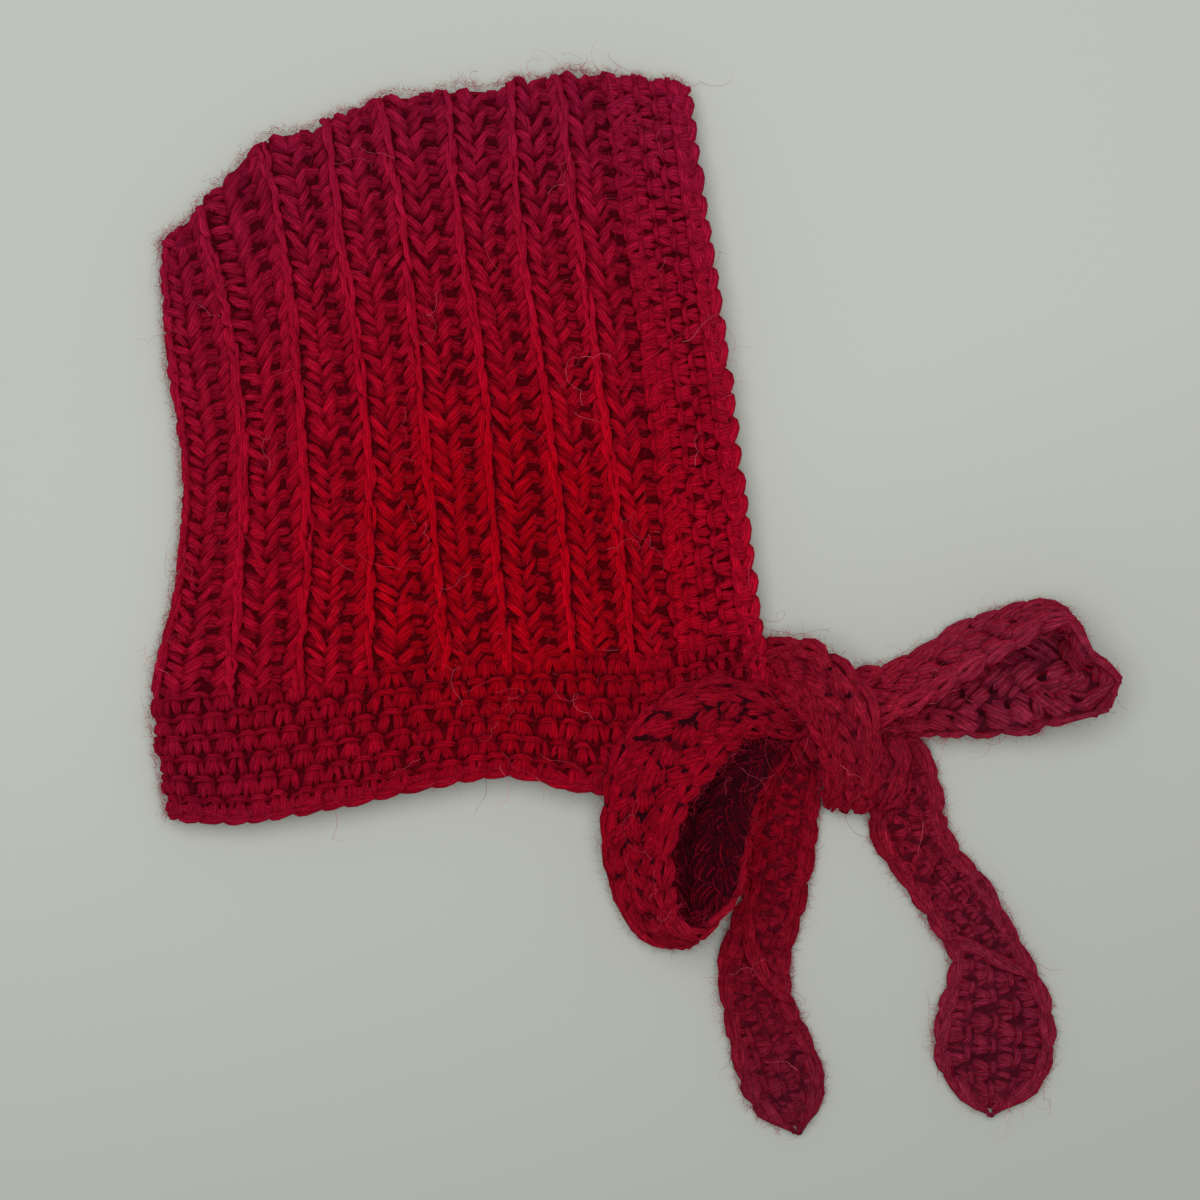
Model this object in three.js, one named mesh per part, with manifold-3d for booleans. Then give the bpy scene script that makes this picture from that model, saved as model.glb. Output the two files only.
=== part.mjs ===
// Crocheted hood with tie strings, lying on its side with the ties knotted in a bow.
// Millimetres. +X runs from the back seam to the face edge, +Y from the neck to the top fold,
// +Z up from the surface that the hood lies on. The origin is under the middle of the whole.
import * as THREE from 'three';
import { mergeVertices } from 'three/addons/utils/BufferGeometryUtils.js';
import Module from 'manifold-3d';

const wasm = await Module();
wasm.setup();

// Driving sizes.
const WALL = 5;                 // thickness of the crocheted fabric
const FOLD_RADIUS = 7;          // outer radius where the fabric turns over at the top and the back
const MIDDLE_Z = FOLD_RADIUS;   // height of the plane between the two layers
const DOME = 6;                 // how far the upper layer rises over the hollow
const RIB_DEPTH = 1.6;          // depth of the valley between two ribs
const BAND_DEPTH = 0.7;         // depth of the grooves between the rows of the edgings
const FACE_BAND_ROWS = 5;
const NECK_BAND_GROOVES = 3;
const SCALLOP_REACH = 12;       // how far down from the top fold the ribs still notch the outline
const OPEN_EDGE_LOWERING = 0.35; // share of the dome that is lost at the face edge and at the hem
const SEAT_GAP = 0.35;          // clearance between neighbouring pieces
const STRAP_THICKNESS = 5;
const COLUMN_PITCH = 21.5;      // from one line of the net to the next, across the ribs
const ROW_PITCH = 47;           // the same along the ribs

// Where the dome has risen in full, and where it starts to come down again, on the net.
const DOME_RISE = { lines: 3, rows: 1.4 };
const DOME_FALL = { fromLine: 6, lines: 3, fromRow: 3.5, rows: 1.5, cornerFromRow: 3, cornerRows: 2 };

// The hood's net: a line down the fabric for the back seam, each rib's cord, the start of the
// face band and the face edge, with its place at the top fold, at three heights of the ribbed
// panel, at the neckline and at the hem.
const NET = [
  { line: 'back', top: [-164, 125], upper: [-162, 85], middle: [-156.7, 45],
    lower: [-159.3, 5], neckline: [-167.5, -35], hem: [-162, -75.5] },
  { line: 'cord 1', top: [-151.2, 138.4], upper: [-140.5, 95], middle: [-135.5, 53],
    lower: [-136.5, 11], neckline: [-140, -31.5], hem: [-139.5, -76.9] },
  { line: 'cord 2', top: [-129.7, 161.2], upper: [-119.5, 113], middle: [-115.5, 66],
    lower: [-113, 18.5], neckline: [-116, -28.5], hem: [-118.5, -74] },
  { line: 'cord 3', top: [-107, 168.2], upper: [-100, 119], middle: [-93, 71],
    lower: [-90.5, 23], neckline: [-91.5, -25], hem: [-94, -69.5] },
  { line: 'cord 4', top: [-88, 176.4], upper: [-79.5, 126.5], middle: [-74, 77],
    lower: [-69, 27.5], neckline: [-65, -21.5], hem: [-66, -63.5] },
  { line: 'cord 5', top: [-64.5, 179.7], upper: [-60, 129], middle: [-52, 80],
    lower: [-48.5, 30], neckline: [-43.5, -19.5], hem: [-42.5, -60.5] },
  { line: 'cord 6', top: [-42.5, 181.8], upper: [-39.5, 131.5], middle: [-31.5, 81.5],
    lower: [-25, 31.5], neckline: [-20.5, -18], hem: [-16, -65.8] },
  { line: 'cord 7', top: [-26, 184.8], upper: [-19.5, 133], middle: [-12, 82.5],
    lower: [-5.5, 31.5], neckline: [0.5, -19], hem: [5.5, -65] },
  { line: 'face band', top: [-10, 184.8], upper: [-3, 133.5], middle: [4, 83.5],
    lower: [10, 33.5], neckline: [16, -17], hem: [24, -55] },
  { line: 'face edge', top: [18.5, 181.2], upper: [25, 133.5], middle: [32, 86],
    lower: [38, 38.5], neckline: [44, -9], hem: [48.5, -35] },
];
const NET_ROWS = ['top', 'upper', 'middle', 'lower', 'neckline', 'hem'];
const FACE_BAND_LINE = 8;
const FACE_EDGE_LINE = 9;
const NECKLINE_ROW = 4;
const HEM_ROW = 5;
const CORDS_FROM_LINE = 1;      // the first cord, from which the ribs are counted
const LAST_RIB_SHARE = 0.77;    // of a rib, between the last cord and the face band
const VALLEY_PHASE = 0.66;      // where the valley lies between one cord and the next
const RIB_STEP = 0.25;
const LAST_RIB_PLACES = [0.25, 0.5, 0.86];
const FOLD_STEPS = 3;
const CREST_SINK = RIB_DEPTH / 2; // what the surface flattens of each rib on the lower side

// How finely the pieces are divided.
const PANEL_ROWS = 10;
const FACE_BAND_STEPS = 10;
const NECK_BAND_STEPS = 18;
const BALL_SEGMENTS = { around: 16, upDown: 10 };
const WELD_DISTANCE = 1e-3;
const rowGap = SEAT_GAP / 2 / ROW_PITCH;
const lineGap = SEAT_GAP / 2 / COLUMN_PITCH;

// Dents of the upper layer: centre and reach on the net, and depth.
const DENTS = [
  { name: 'gather beside the tie', line: 7.0, row: 4.35, acrossRibs: 0.55, alongRibs: 0.6, depth: 1.8 },
  { name: 'pull over the neckline', line: 6.1, row: 3.95, acrossRibs: 0.9, alongRibs: 0.18, depth: 1.4 },
  { name: 'hollow at the back', line: 0.9, row: 2.4, acrossRibs: 0.7, alongRibs: 1.2, depth: 1.2 },
];

// The straps: places along the middle line, with the width there and the roll about it. With no
// roll a strap lies flat with its outer face up. A positive roll lowers its outer edge.
const KNOT_WRAP = [
  { x: 47.8, y: -23.8, z: 11.5, width: 18, roll: 0 },
  { x: 50.2, y: -23.5, z: 12.6, width: 19, roll: 0 },
  { x: 53.6, y: -23.4, z: 17.5, width: 20.5, roll: 0 },
  { x: 58.5, y: -25.2, z: 23, width: 23, roll: 0 },
  { x: 66.5, y: -31.5, z: 27.5, width: 24, roll: 0 },
  { x: 73.5, y: -42.5, z: 29, width: 23, roll: 0 },
  { x: 76, y: -56, z: 25, width: 19.5, roll: 0 },
  { x: 76, y: -67.5, z: 16, width: 18, roll: 0 },
  { x: 75, y: -72, z: 6.5, width: 15, roll: 0 },
];
const KNOT_TUCK = [
  { x: 88, y: -49, z: 14, width: 10, roll: 0 },
  { x: 90.3, y: -55.5, z: 14.5, width: 14, roll: 0 },
  { x: 89.3, y: -63.8, z: 13.5, width: 15, roll: 0 },
  { x: 84.8, y: -70, z: 11, width: 13, roll: 0 },
];
const LOOP_LEFT = [
  { x: 57, y: -43.5, z: 13, width: 12, roll: 10 },
  { x: 49.5, y: -41, z: 17.2, width: 14, roll: 5 },
  { x: 40, y: -38, z: 20, width: 20, roll: 3 },
  { x: 28.5, y: -40.5, z: 23.5, width: 27, roll: 3 },
  { x: 18, y: -47.5, z: 27, width: 31, roll: 8 },
  { x: 7.5, y: -60.5, z: 28.5, width: 32, roll: 17 },
  { x: 2.5, y: -80, z: 24, width: 31, roll: 39 },
  { x: 3.7, y: -98.5, z: 19, width: 32, roll: 51 },
  { x: 9, y: -111.8, z: 17, width: 31, roll: 60 },
  { x: 22, y: -116.3, z: 17.8, width: 30, roll: 82 },
  { x: 26, y: -104.5, z: 15, width: 32, roll: 128 },
  { x: 26.3, y: -88, z: 12, width: 33, roll: 147 },
  { x: 30, y: -71, z: 10.5, width: 30, roll: 157 },
  { x: 41.5, y: -55.5, z: 11, width: 21, roll: 162 },
  { x: 54, y: -47, z: 11, width: 13, roll: 168 },
];
const LOOP_RIGHT = [
  { x: 80, y: -34.5, z: 14.3, width: 25, roll: 30 },
  { x: 89, y: -33, z: 14.8, width: 24, roll: 40 },
  { x: 98.5, y: -29, z: 15, width: 26.5, roll: 51 },
  { x: 108, y: -23, z: 16, width: 28, roll: 57 },
  { x: 118.5, y: -16.5, z: 16.8, width: 30, roll: 60 },
  { x: 131, y: -10.3, z: 17.8, width: 31, roll: 67 },
  { x: 142.5, y: -5.5, z: 18.3, width: 32, roll: 76 },
  { x: 151.3, y: -6.8, z: 18.3, width: 33, roll: 84 },
  { x: 154.8, y: -17.5, z: 18.5, width: 33, roll: 96 },
  { x: 158, y: -28, z: 15, width: 34, roll: 132 },
  { x: 141, y: -26.8, z: 10.1, width: 39, roll: 158 },
  { x: 122, y: -31.8, z: 8.6, width: 33, roll: 161 },
  { x: 104, y: -35.8, z: 9, width: 24.5, roll: 162 },
  { x: 91, y: -40.5, z: 10, width: 17, roll: 165 },
  { x: 82, y: -45, z: 10.5, width: 13, roll: 165 },
];
const TAIL_LEFT = [
  { x: 60, y: -54, z: 6, width: 18, roll: 0 },
  { x: 54.5, y: -72, z: 4, width: 22, roll: 0 },
  { x: 52.3, y: -89.5, z: 3.2, width: 22.7, roll: 0 },
  { x: 50, y: -106, z: 3.5, width: 20.7, roll: 0 },
  { x: 44.6, y: -121, z: 4.2, width: 23.5, roll: -8 },
  { x: 43, y: -132.5, z: 4, width: 24.8, roll: -6 },
  { x: 44.8, y: -144.5, z: 3.4, width: 23.6, roll: 0 },
  { x: 49.7, y: -158, z: 3, width: 27, roll: 0 },
  { x: 54, y: -171, z: 3, width: 27.5, roll: 0 },
  { x: 56.5, y: -179, z: 3, width: 20, roll: 0 },
  { x: 58, y: -185, z: 3, width: 8, roll: 0 },
];
const TAIL_RIGHT = [
  { x: 82, y: -49.5, z: 4.4, width: 16, roll: 0 },
  { x: 91.8, y: -55, z: 3.9, width: 22, roll: 0 },
  { x: 96, y: -68, z: 4, width: 25, roll: 0 },
  { x: 97.5, y: -80, z: 3.5, width: 25, roll: 0 },
  { x: 104, y: -92, z: 3.5, width: 22.5, roll: 0 },
  { x: 114.3, y: -105.5, z: 3.5, width: 24, roll: 0 },
  { x: 123, y: -119, z: 4.5, width: 23, roll: 0 },
  { x: 126.5, y: -131.5, z: 4.2, width: 29.5, roll: 0 },
  { x: 127.8, y: -143.5, z: 3.6, width: 38.5, roll: 0 },
  { x: 127.7, y: -155, z: 3.4, width: 41.5, roll: 0 },
  { x: 127.3, y: -166, z: 3.2, width: 36, roll: 0 },
  { x: 126.5, y: -174.5, z: 3, width: 22, roll: 0 },
  { x: 126.5, y: -179, z: 3, width: 9, roll: 0 },
];
const TIE_LOWER = [
  { x: 47.6, y: -23.8, z: 2.6, width: 18, roll: 0 },
  { x: 53, y: -23.3, z: 2.7, width: 19, roll: 0 },
  { x: 58.5, y: -25, z: 3, width: 20, roll: 0 },
  { x: 63, y: -28.5, z: 3.5, width: 20, roll: 0 },
];
const KNOT_CORE = { x: 71, y: -45, z: 13, radiusX: 16.5, radiusY: 20, radiusZ: 12 };

// Half of a strap's section as shares of its half width and half thickness.
const STRAP_SECTION = [[1, 0], [0.9, 0.8], [0.45, 1], [-0.45, 1], [-0.9, 0.8]];

const CRIMSON = new THREE.Color(0.58, 0.01, 0.06);
const DEEP_CRIMSON = new THREE.Color(0.42, 0.01, 0.06);

const yarn = (color) => new THREE.MeshStandardMaterial({ color, roughness: 0.95, metalness: 0 });

function smooth(value) {
  const t = Math.min(Math.max(value, 0), 1);
  return t * t * (3 - 2 * t);
}

// A smooth curve through equally spaced values, read at a position counted in steps.
function throughValues(values, position) {
  const last = values.length - 1;
  const step = Math.min(Math.max(Math.floor(position), 0), last - 1);
  const t = position - step;
  const [b, c] = [values[step], values[step + 1]];
  const a = step > 0 ? values[step - 1] : 2 * b - c;
  const d = step + 2 <= last ? values[step + 2] : 2 * c - b;
  const slopeB = (c - a) / 2;
  const slopeC = (d - b) / 2;
  const bend = 3 * (c - b) - 2 * slopeB - slopeC;
  const turn = 2 * (b - c) + slopeB + slopeC;
  return b + slopeB * t + bend * t * t + turn * t * t * t;
}

// Where the flat net lies at a line and a row of it.
function netPoint(line, row) {
  const alongLine = NET.map((column) => [0, 1].map((axis) =>
    throughValues(NET_ROWS.map((name) => column[name][axis]), row)));
  return [0, 1].map((axis) => throughValues(alongLine.map((point) => point[axis]), line));
}

// How far the ribs and the rows of the edgings sink in below the outer surface.
function relief(line, row) {
  if (row > NECKLINE_ROW) {
    const turns = (row - NECKLINE_ROW) * NECK_BAND_GROOVES;
    return BAND_DEPTH * (1 - Math.cos(2 * Math.PI * turns)) / 2;
  }
  if (line > FACE_BAND_LINE) {
    const turns = (line - FACE_BAND_LINE) * FACE_BAND_ROWS / 2;
    return BAND_DEPTH * (1 - Math.cos(2 * Math.PI * turns)) / 2;
  }
  const past = line - (FACE_BAND_LINE - 1);
  const ribs = past > 0 ? past * LAST_RIB_SHARE : line - CORDS_FROM_LINE;
  return RIB_DEPTH * (1 + Math.cos(2 * Math.PI * (ribs - VALLEY_PHASE))) / 2;
}

// How far the upper layer stands above its height at the edges.
function domeHeight(line, row) {
  const { fromLine, lines, fromRow, rows, cornerFromRow, cornerRows } = DOME_FALL;
  const nearFace = smooth((line - fromLine) / lines);
  const nearHem = smooth((row - fromRow) / rows);
  const frontCorner = nearFace * smooth((row - cornerFromRow) / cornerRows);
  const dents = DENTS.reduce((sum, dent) => {
    const across = (line - dent.line) / dent.acrossRibs;
    const along = (row - dent.row) / dent.alongRibs;
    return sum + dent.depth * Math.exp(-across * across - along * along);
  }, 0);
  const rise = DOME * (1 - OPEN_EDGE_LOWERING * nearFace) * (1 - OPEN_EDGE_LOWERING * nearHem);
  const inward = smooth(line / DOME_RISE.lines) * smooth(row / DOME_RISE.rows);
  return (rise * (1 - frontCorner) - dents) * inward;
}

// A quarter circle from 0 at the folded edge to 1 a radius further in.
function turnOver(distance, radius) {
  const t = Math.min(distance / radius, 1);
  return Math.sqrt(Math.max(1 - (1 - t) * (1 - t), 0));
}

// A point of the hood's fabric: layer is outer or inner, side is 1 above and -1 below.
function fabricPoint(line, row, layer, side) {
  const inner = layer === 'inner';
  const fromBack = line * COLUMN_PITCH;
  const fromTop = row * ROW_PITCH;
  const inset = inner ? WALL : 0;
  const groove = inner ? 0 : relief(line, row);
  const atTop = 1 - smooth(fromTop / SCALLOP_REACH);
  const backShare = inset / COLUMN_PITCH;
  const topShare = (inset + groove * atTop) / ROW_PITCH;
  const [x, y] = netPoint(
    backShare + line * (1 - backShare / FACE_EDGE_LINE),
    topShare + row * (1 - topShare / HEM_ROW),
  );
  const radius = inner ? FOLD_RADIUS - WALL : FOLD_RADIUS;
  const full = turnOver(fromBack, radius) * turnOver(fromTop, radius);
  const sunk = side > 0 ? groove : Math.max(groove - CREST_SINK, 0);
  const rise = side > 0 ? domeHeight(line, row) : 0;
  return [x, y, MIDDLE_Z + side * (radius - sunk) * full + rise * full];
}

// One piece of the fabric between given lines and rows, as a closed wall over both layers.
function fabricPiece(lines, rows) {
  const positions = [];
  const triangles = [];
  const index = new Map();
  const layers = ['outer', 'inner'];
  const sides = [1, -1];
  for (const layer of layers) {
    for (const side of sides) {
      lines.forEach((line, c) => rows.forEach((row, r) => {
        index.set(`${layer},${side},${c},${r}`, positions.length / 3);
        positions.push(...fabricPoint(line, row, layer, side));
      }));
    }
  }
  const at = (layer, side, c, r) => index.get(`${layer},${side},${c},${r}`);
  const quad = (corners, flip) => {
    const [a, b, c, d] = flip ? [...corners].reverse() : corners;
    triangles.push(a, b, c, a, c, d);
  };
  const lastLine = lines.length - 1;
  const lastRow = rows.length - 1;
  for (const side of sides) {
    const below = side < 0;
    for (let c = 0; c < lastLine; c += 1) {
      for (let r = 0; r < lastRow; r += 1) {
        for (const layer of layers) {
          const ring = [at(layer, side, c, r), at(layer, side, c, r + 1),
            at(layer, side, c + 1, r + 1), at(layer, side, c + 1, r)];
          quad(ring, below !== (layer === 'inner'));
        }
      }
    }
    const rim = (c1, r1, c2, r2) => quad([at('outer', side, c1, r1), at('outer', side, c2, r2),
      at('inner', side, c2, r2), at('inner', side, c1, r1)], below);
    for (let r = 0; r < lastRow; r += 1) {
      rim(lastLine, r, lastLine, r + 1);
      if (lines[0] > 0) rim(0, r + 1, 0, r);
    }
    for (let c = 0; c < lastLine; c += 1) {
      rim(c + 1, lastRow, c, lastRow);
      if (rows[0] > 0) rim(c, 0, c + 1, 0);
    }
  }
  return closedGeometry(positions, triangles);
}

function closedGeometry(positions, triangles) {
  const geometry = new THREE.BufferGeometry();
  geometry.setAttribute('position', new THREE.Float32BufferAttribute(positions, 3));
  geometry.setIndex(triangles);
  return mergeVertices(geometry, WELD_DISTANCE);
}

// Even places from start to end.
function evenly(start, end, count) {
  return Array.from({ length: count + 1 }, (_, k) => start + (end - start) * k / count);
}

// Places over a folded edge, at equal turns of the fold, for a net with the given pitch.
function foldedEdge(pitch) {
  return evenly(0, Math.PI / 2, FOLD_STEPS)
    .map((angle) => FOLD_RADIUS * (1 - Math.cos(angle)) / pitch);
}

// The places of the folded edge and then even ones up to end.
function foldedThenEven(end, count, pitch) {
  const edge = foldedEdge(pitch);
  return [...edge, ...evenly(edge[edge.length - 1], end, count).slice(1)];
}

// The panel's lines: the folded edge, four to each whole rib, and the shorter last rib.
function panelLines() {
  const lines = foldedEdge(COLUMN_PITCH);
  for (let line = VALLEY_PHASE - RIB_STEP; line < FACE_BAND_LINE - 1; line += RIB_STEP) {
    lines.push(line);
  }
  const lastRib = LAST_RIB_PLACES.map((place) => FACE_BAND_LINE - 1 + place);
  return [...lines, ...lastRib, FACE_BAND_LINE - lineGap];
}

// A strap carried along its places, wider and thicker all round by grow.
function strapPiece(places, steps, outward, grow = 0) {
  const path = new THREE.CatmullRomCurve3(
    places.map((p) => new THREE.Vector3(p.x, p.y, p.z)), false, 'catmullrom', 0.5);
  const shape = new THREE.CatmullRomCurve3(
    places.map((p) => new THREE.Vector3(p.width, p.roll, 0)), false, 'catmullrom', 0.5);
  const section = [...STRAP_SECTION, ...STRAP_SECTION.map(([u, v]) => [-u, -v])];
  const up = new THREE.Vector3(0, 0, 1);
  const positions = [];
  const triangles = [];
  for (let k = 0; k <= steps; k += 1) {
    const along = path.getTangent(k / steps);
    const level = new THREE.Vector3().crossVectors(along, up).normalize().multiplyScalar(outward);
    const lift = new THREE.Vector3().crossVectors(level, along).multiplyScalar(outward);
    const { x: width, y: roll } = shape.getPoint(k / steps);
    const angle = THREE.MathUtils.degToRad(roll);
    const across = level.clone().multiplyScalar(Math.cos(angle))
      .addScaledVector(lift, -Math.sin(angle));
    const face = lift.clone().multiplyScalar(Math.cos(angle))
      .addScaledVector(level, Math.sin(angle));
    const place = path.getPoint(k / steps);
    if (grow > 0 && k === 0) place.addScaledVector(along, -grow);
    if (grow > 0 && k === steps) place.addScaledVector(along, grow);
    for (const [u, v] of section) {
      const corner = place.clone()
        .addScaledVector(across, u * (width / 2 + grow))
        .addScaledVector(face, v * (STRAP_THICKNESS / 2 + grow));
      positions.push(corner.x, corner.y, corner.z);
    }
  }
  const n = section.length;
  const wind = (a, b, c) => triangles.push(...(outward > 0 ? [a, b, c] : [a, c, b]));
  for (let k = 0; k < steps; k += 1) {
    for (let i = 0; i < n; i += 1) {
      const a = k * n + i;
      const b = k * n + (i + 1) % n;
      wind(a, a + n, b);
      wind(b, a + n, b + n);
    }
  }
  for (let i = 1; i < n - 1; i += 1) {
    wind(0, i, i + 1);
    wind(steps * n, steps * n + i + 1, steps * n + i);
  }
  return closedGeometry(positions, triangles);
}

function toSolid(geometry) {
  return new wasm.Manifold(new wasm.Mesh({
    numProp: 3,
    vertProperties: new Float32Array(geometry.getAttribute('position').array),
    triVerts: new Uint32Array(geometry.getIndex().array),
  }));
}

function toGeometry(solid) {
  const { vertProperties, triVerts } = solid.getMesh();
  return closedGeometry(Array.from(vertProperties), Array.from(triVerts));
}

// The geometry with each cutter taken away.
function cutBy(geometry, cutters) {
  return toGeometry(cutters.reduce((solid, cutter) => solid.subtract(toSolid(cutter)), toSolid(geometry)));
}

function roundCore({ x, y, z, radiusX, radiusY, radiusZ }) {
  const ball = new THREE.SphereGeometry(1, BALL_SEGMENTS.around, BALL_SEGMENTS.upDown);
  ball.deleteAttribute('normal');
  ball.deleteAttribute('uv');
  ball.rotateX(Math.PI / 2);
  ball.scale(radiusX, radiusY, radiusZ);
  ball.translate(x, y, z);
  return mergeVertices(ball, WELD_DISTANCE);
}

const hood = new THREE.Group();

function addPiece(name, geometry, color) {
  const mesh = new THREE.Mesh(geometry, yarn(color));
  mesh.name = name;
  hood.add(mesh);
}

const panelRows = foldedThenEven(NECKLINE_ROW - rowGap, PANEL_ROWS, ROW_PITCH);
addPiece('ribbed_panel', fabricPiece(panelLines(), panelRows), CRIMSON);
const faceLines = evenly(FACE_BAND_LINE + lineGap, FACE_EDGE_LINE, FACE_BAND_STEPS);
addPiece('face_band', fabricPiece(faceLines, panelRows), CRIMSON);
const neckLines = foldedThenEven(FACE_EDGE_LINE, NECK_BAND_STEPS, COLUMN_PITCH);
const neckRows = evenly(NECKLINE_ROW + rowGap, HEM_ROW, 2 * NECK_BAND_GROOVES);
addPiece('neck_band', fabricPiece(neckLines, neckRows), CRIMSON);

// Each strap keeps clear of the ones that it passes under, by a room of its own shape around them.
const straps = [
  { name: 'knot_wrap', places: KNOT_WRAP, steps: 20, outward: 1, color: CRIMSON },
  { name: 'bow_loop_left', places: LOOP_LEFT, steps: 40, outward: 1, color: CRIMSON },
  { name: 'bow_loop_right', places: LOOP_RIGHT, steps: 40, outward: -1, color: DEEP_CRIMSON },
  { name: 'tie_end_left', places: TAIL_LEFT, steps: 24, outward: 1, color: DEEP_CRIMSON },
  { name: 'tie_end_right', places: TAIL_RIGHT, steps: 24, outward: 1, color: DEEP_CRIMSON },
  { name: 'knot_tuck', places: KNOT_TUCK, steps: 8, outward: 1, color: DEEP_CRIMSON },
  { name: 'tie_lower', places: TIE_LOWER, steps: 5, outward: 1, color: DEEP_CRIMSON },
];
const rooms = [];
for (const { name, places, steps, outward, color } of straps) {
  const whole = strapPiece(places, steps, outward);
  addPiece(name, rooms.length ? cutBy(whole, rooms) : whole, color);
  rooms.push(strapPiece(places, steps, outward, SEAT_GAP));
}
addPiece('knot_core', cutBy(roundCore(KNOT_CORE), rooms), DEEP_CRIMSON);

hood.updateMatrixWorld(true);

export default hood;
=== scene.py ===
"""Crocheted hood with tie strings, laid on its side with the ties knotted in a bow.

Every stitch is made of short runs of yarn. A run is laid on the fabric by how far it lies across the
rows, how far along them, and how high it stands. Lengths are millimetres until a mesh is made of them.
"""

import logging
import math
from dataclasses import dataclass, field, replace
from enum import Enum

import bmesh
import bpy
import numpy as np
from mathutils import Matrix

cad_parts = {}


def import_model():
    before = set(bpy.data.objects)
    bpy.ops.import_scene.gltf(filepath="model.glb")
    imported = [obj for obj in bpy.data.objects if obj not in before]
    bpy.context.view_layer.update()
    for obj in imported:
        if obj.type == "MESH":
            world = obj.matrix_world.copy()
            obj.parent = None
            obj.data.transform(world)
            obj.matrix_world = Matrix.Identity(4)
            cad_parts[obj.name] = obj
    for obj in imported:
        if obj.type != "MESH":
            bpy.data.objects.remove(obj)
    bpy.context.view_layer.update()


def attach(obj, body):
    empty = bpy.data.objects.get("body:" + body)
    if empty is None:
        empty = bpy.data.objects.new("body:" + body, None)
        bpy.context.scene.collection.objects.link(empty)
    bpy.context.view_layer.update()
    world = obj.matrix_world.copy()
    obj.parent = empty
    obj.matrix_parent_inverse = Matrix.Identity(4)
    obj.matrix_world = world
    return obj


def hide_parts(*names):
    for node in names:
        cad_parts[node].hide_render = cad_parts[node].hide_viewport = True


Array = np.ndarray
Socket = bpy.types.NodeSocket
Pair = tuple[float, float]
Colour = tuple[float, float, float]

MM = 0.001
UP = np.array([0.0, 0.0, 1.0])
FLOOR_CLEARANCE = 0.02
WELD_DISTANCE = 0.02
YARN_UV = "Yarn"
# Painted shade and highlight: the underside of each yarn tube gets this much less lift, so darker, and its
# top this much more.
LIFT_ROUND_TUBE = 0.25
FIRST_STITCH = 0.3

log = logging.getLogger("hood")


class Side(Enum):
    """The two sides of a flat fabric, by the sign of its outward direction."""

    UPPER = 1
    LOWER = -1


class Slot(Enum):
    """The names of the two finishes."""

    HOOD = "red_yarn"
    TIES = "tie_yarn"


def smooth(value: Array) -> Array:
    """An even step from 0 to 1: 3 t^2 - 2 t^3, with t the value held between 0 and 1."""
    t = np.clip(value, 0.0, 1.0)
    return t * t * (3 - 2 * t)


def unit(vectors: Array) -> Array:
    """The vectors along the last axis, each at length 1."""
    return vectors / np.maximum(np.linalg.norm(vectors, axis=-1, keepdims=True), 1e-9)


def curve_weights(position: Array, count: int) -> Array:
    """The share of each of a row of values in the smooth curve through them.

    Between the second and third of four values, the curve is half of
    (-t + 2t^2 - t^3) a + (2 - 5t^2 + 3t^3) b + (t + 4t^2 - 3t^3) c + (-t^2 + t^3) d.
    Past either end the row goes on straight.

    Args:
        position: Where the curve is read, in steps from the first value.
        count: How many values the row has.

    Returns:
        The shares, with the values along a new last axis.
    """
    step = np.clip(np.floor(position).astype(int), 0, count - 2)
    t = position - step
    shares = [
        (-t + 2 * t**2 - t**3) / 2,
        (2 - 5 * t**2 + 3 * t**3) / 2,
        (t + 4 * t**2 - 3 * t**3) / 2,
        (-(t**2) + t**3) / 2,
    ]
    weights = np.zeros(position.shape + (count + 2,))
    for offset, share in enumerate(shares):
        np.put_along_axis(weights, (step + offset)[..., None], share[..., None], -1)
    before, after = weights[..., 0].copy(), weights[..., -1].copy()
    weights[..., 1] += 2 * before
    weights[..., 2] -= before
    weights[..., -2] += 2 * after
    weights[..., -3] -= after
    return weights[..., 1:-1]


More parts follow.
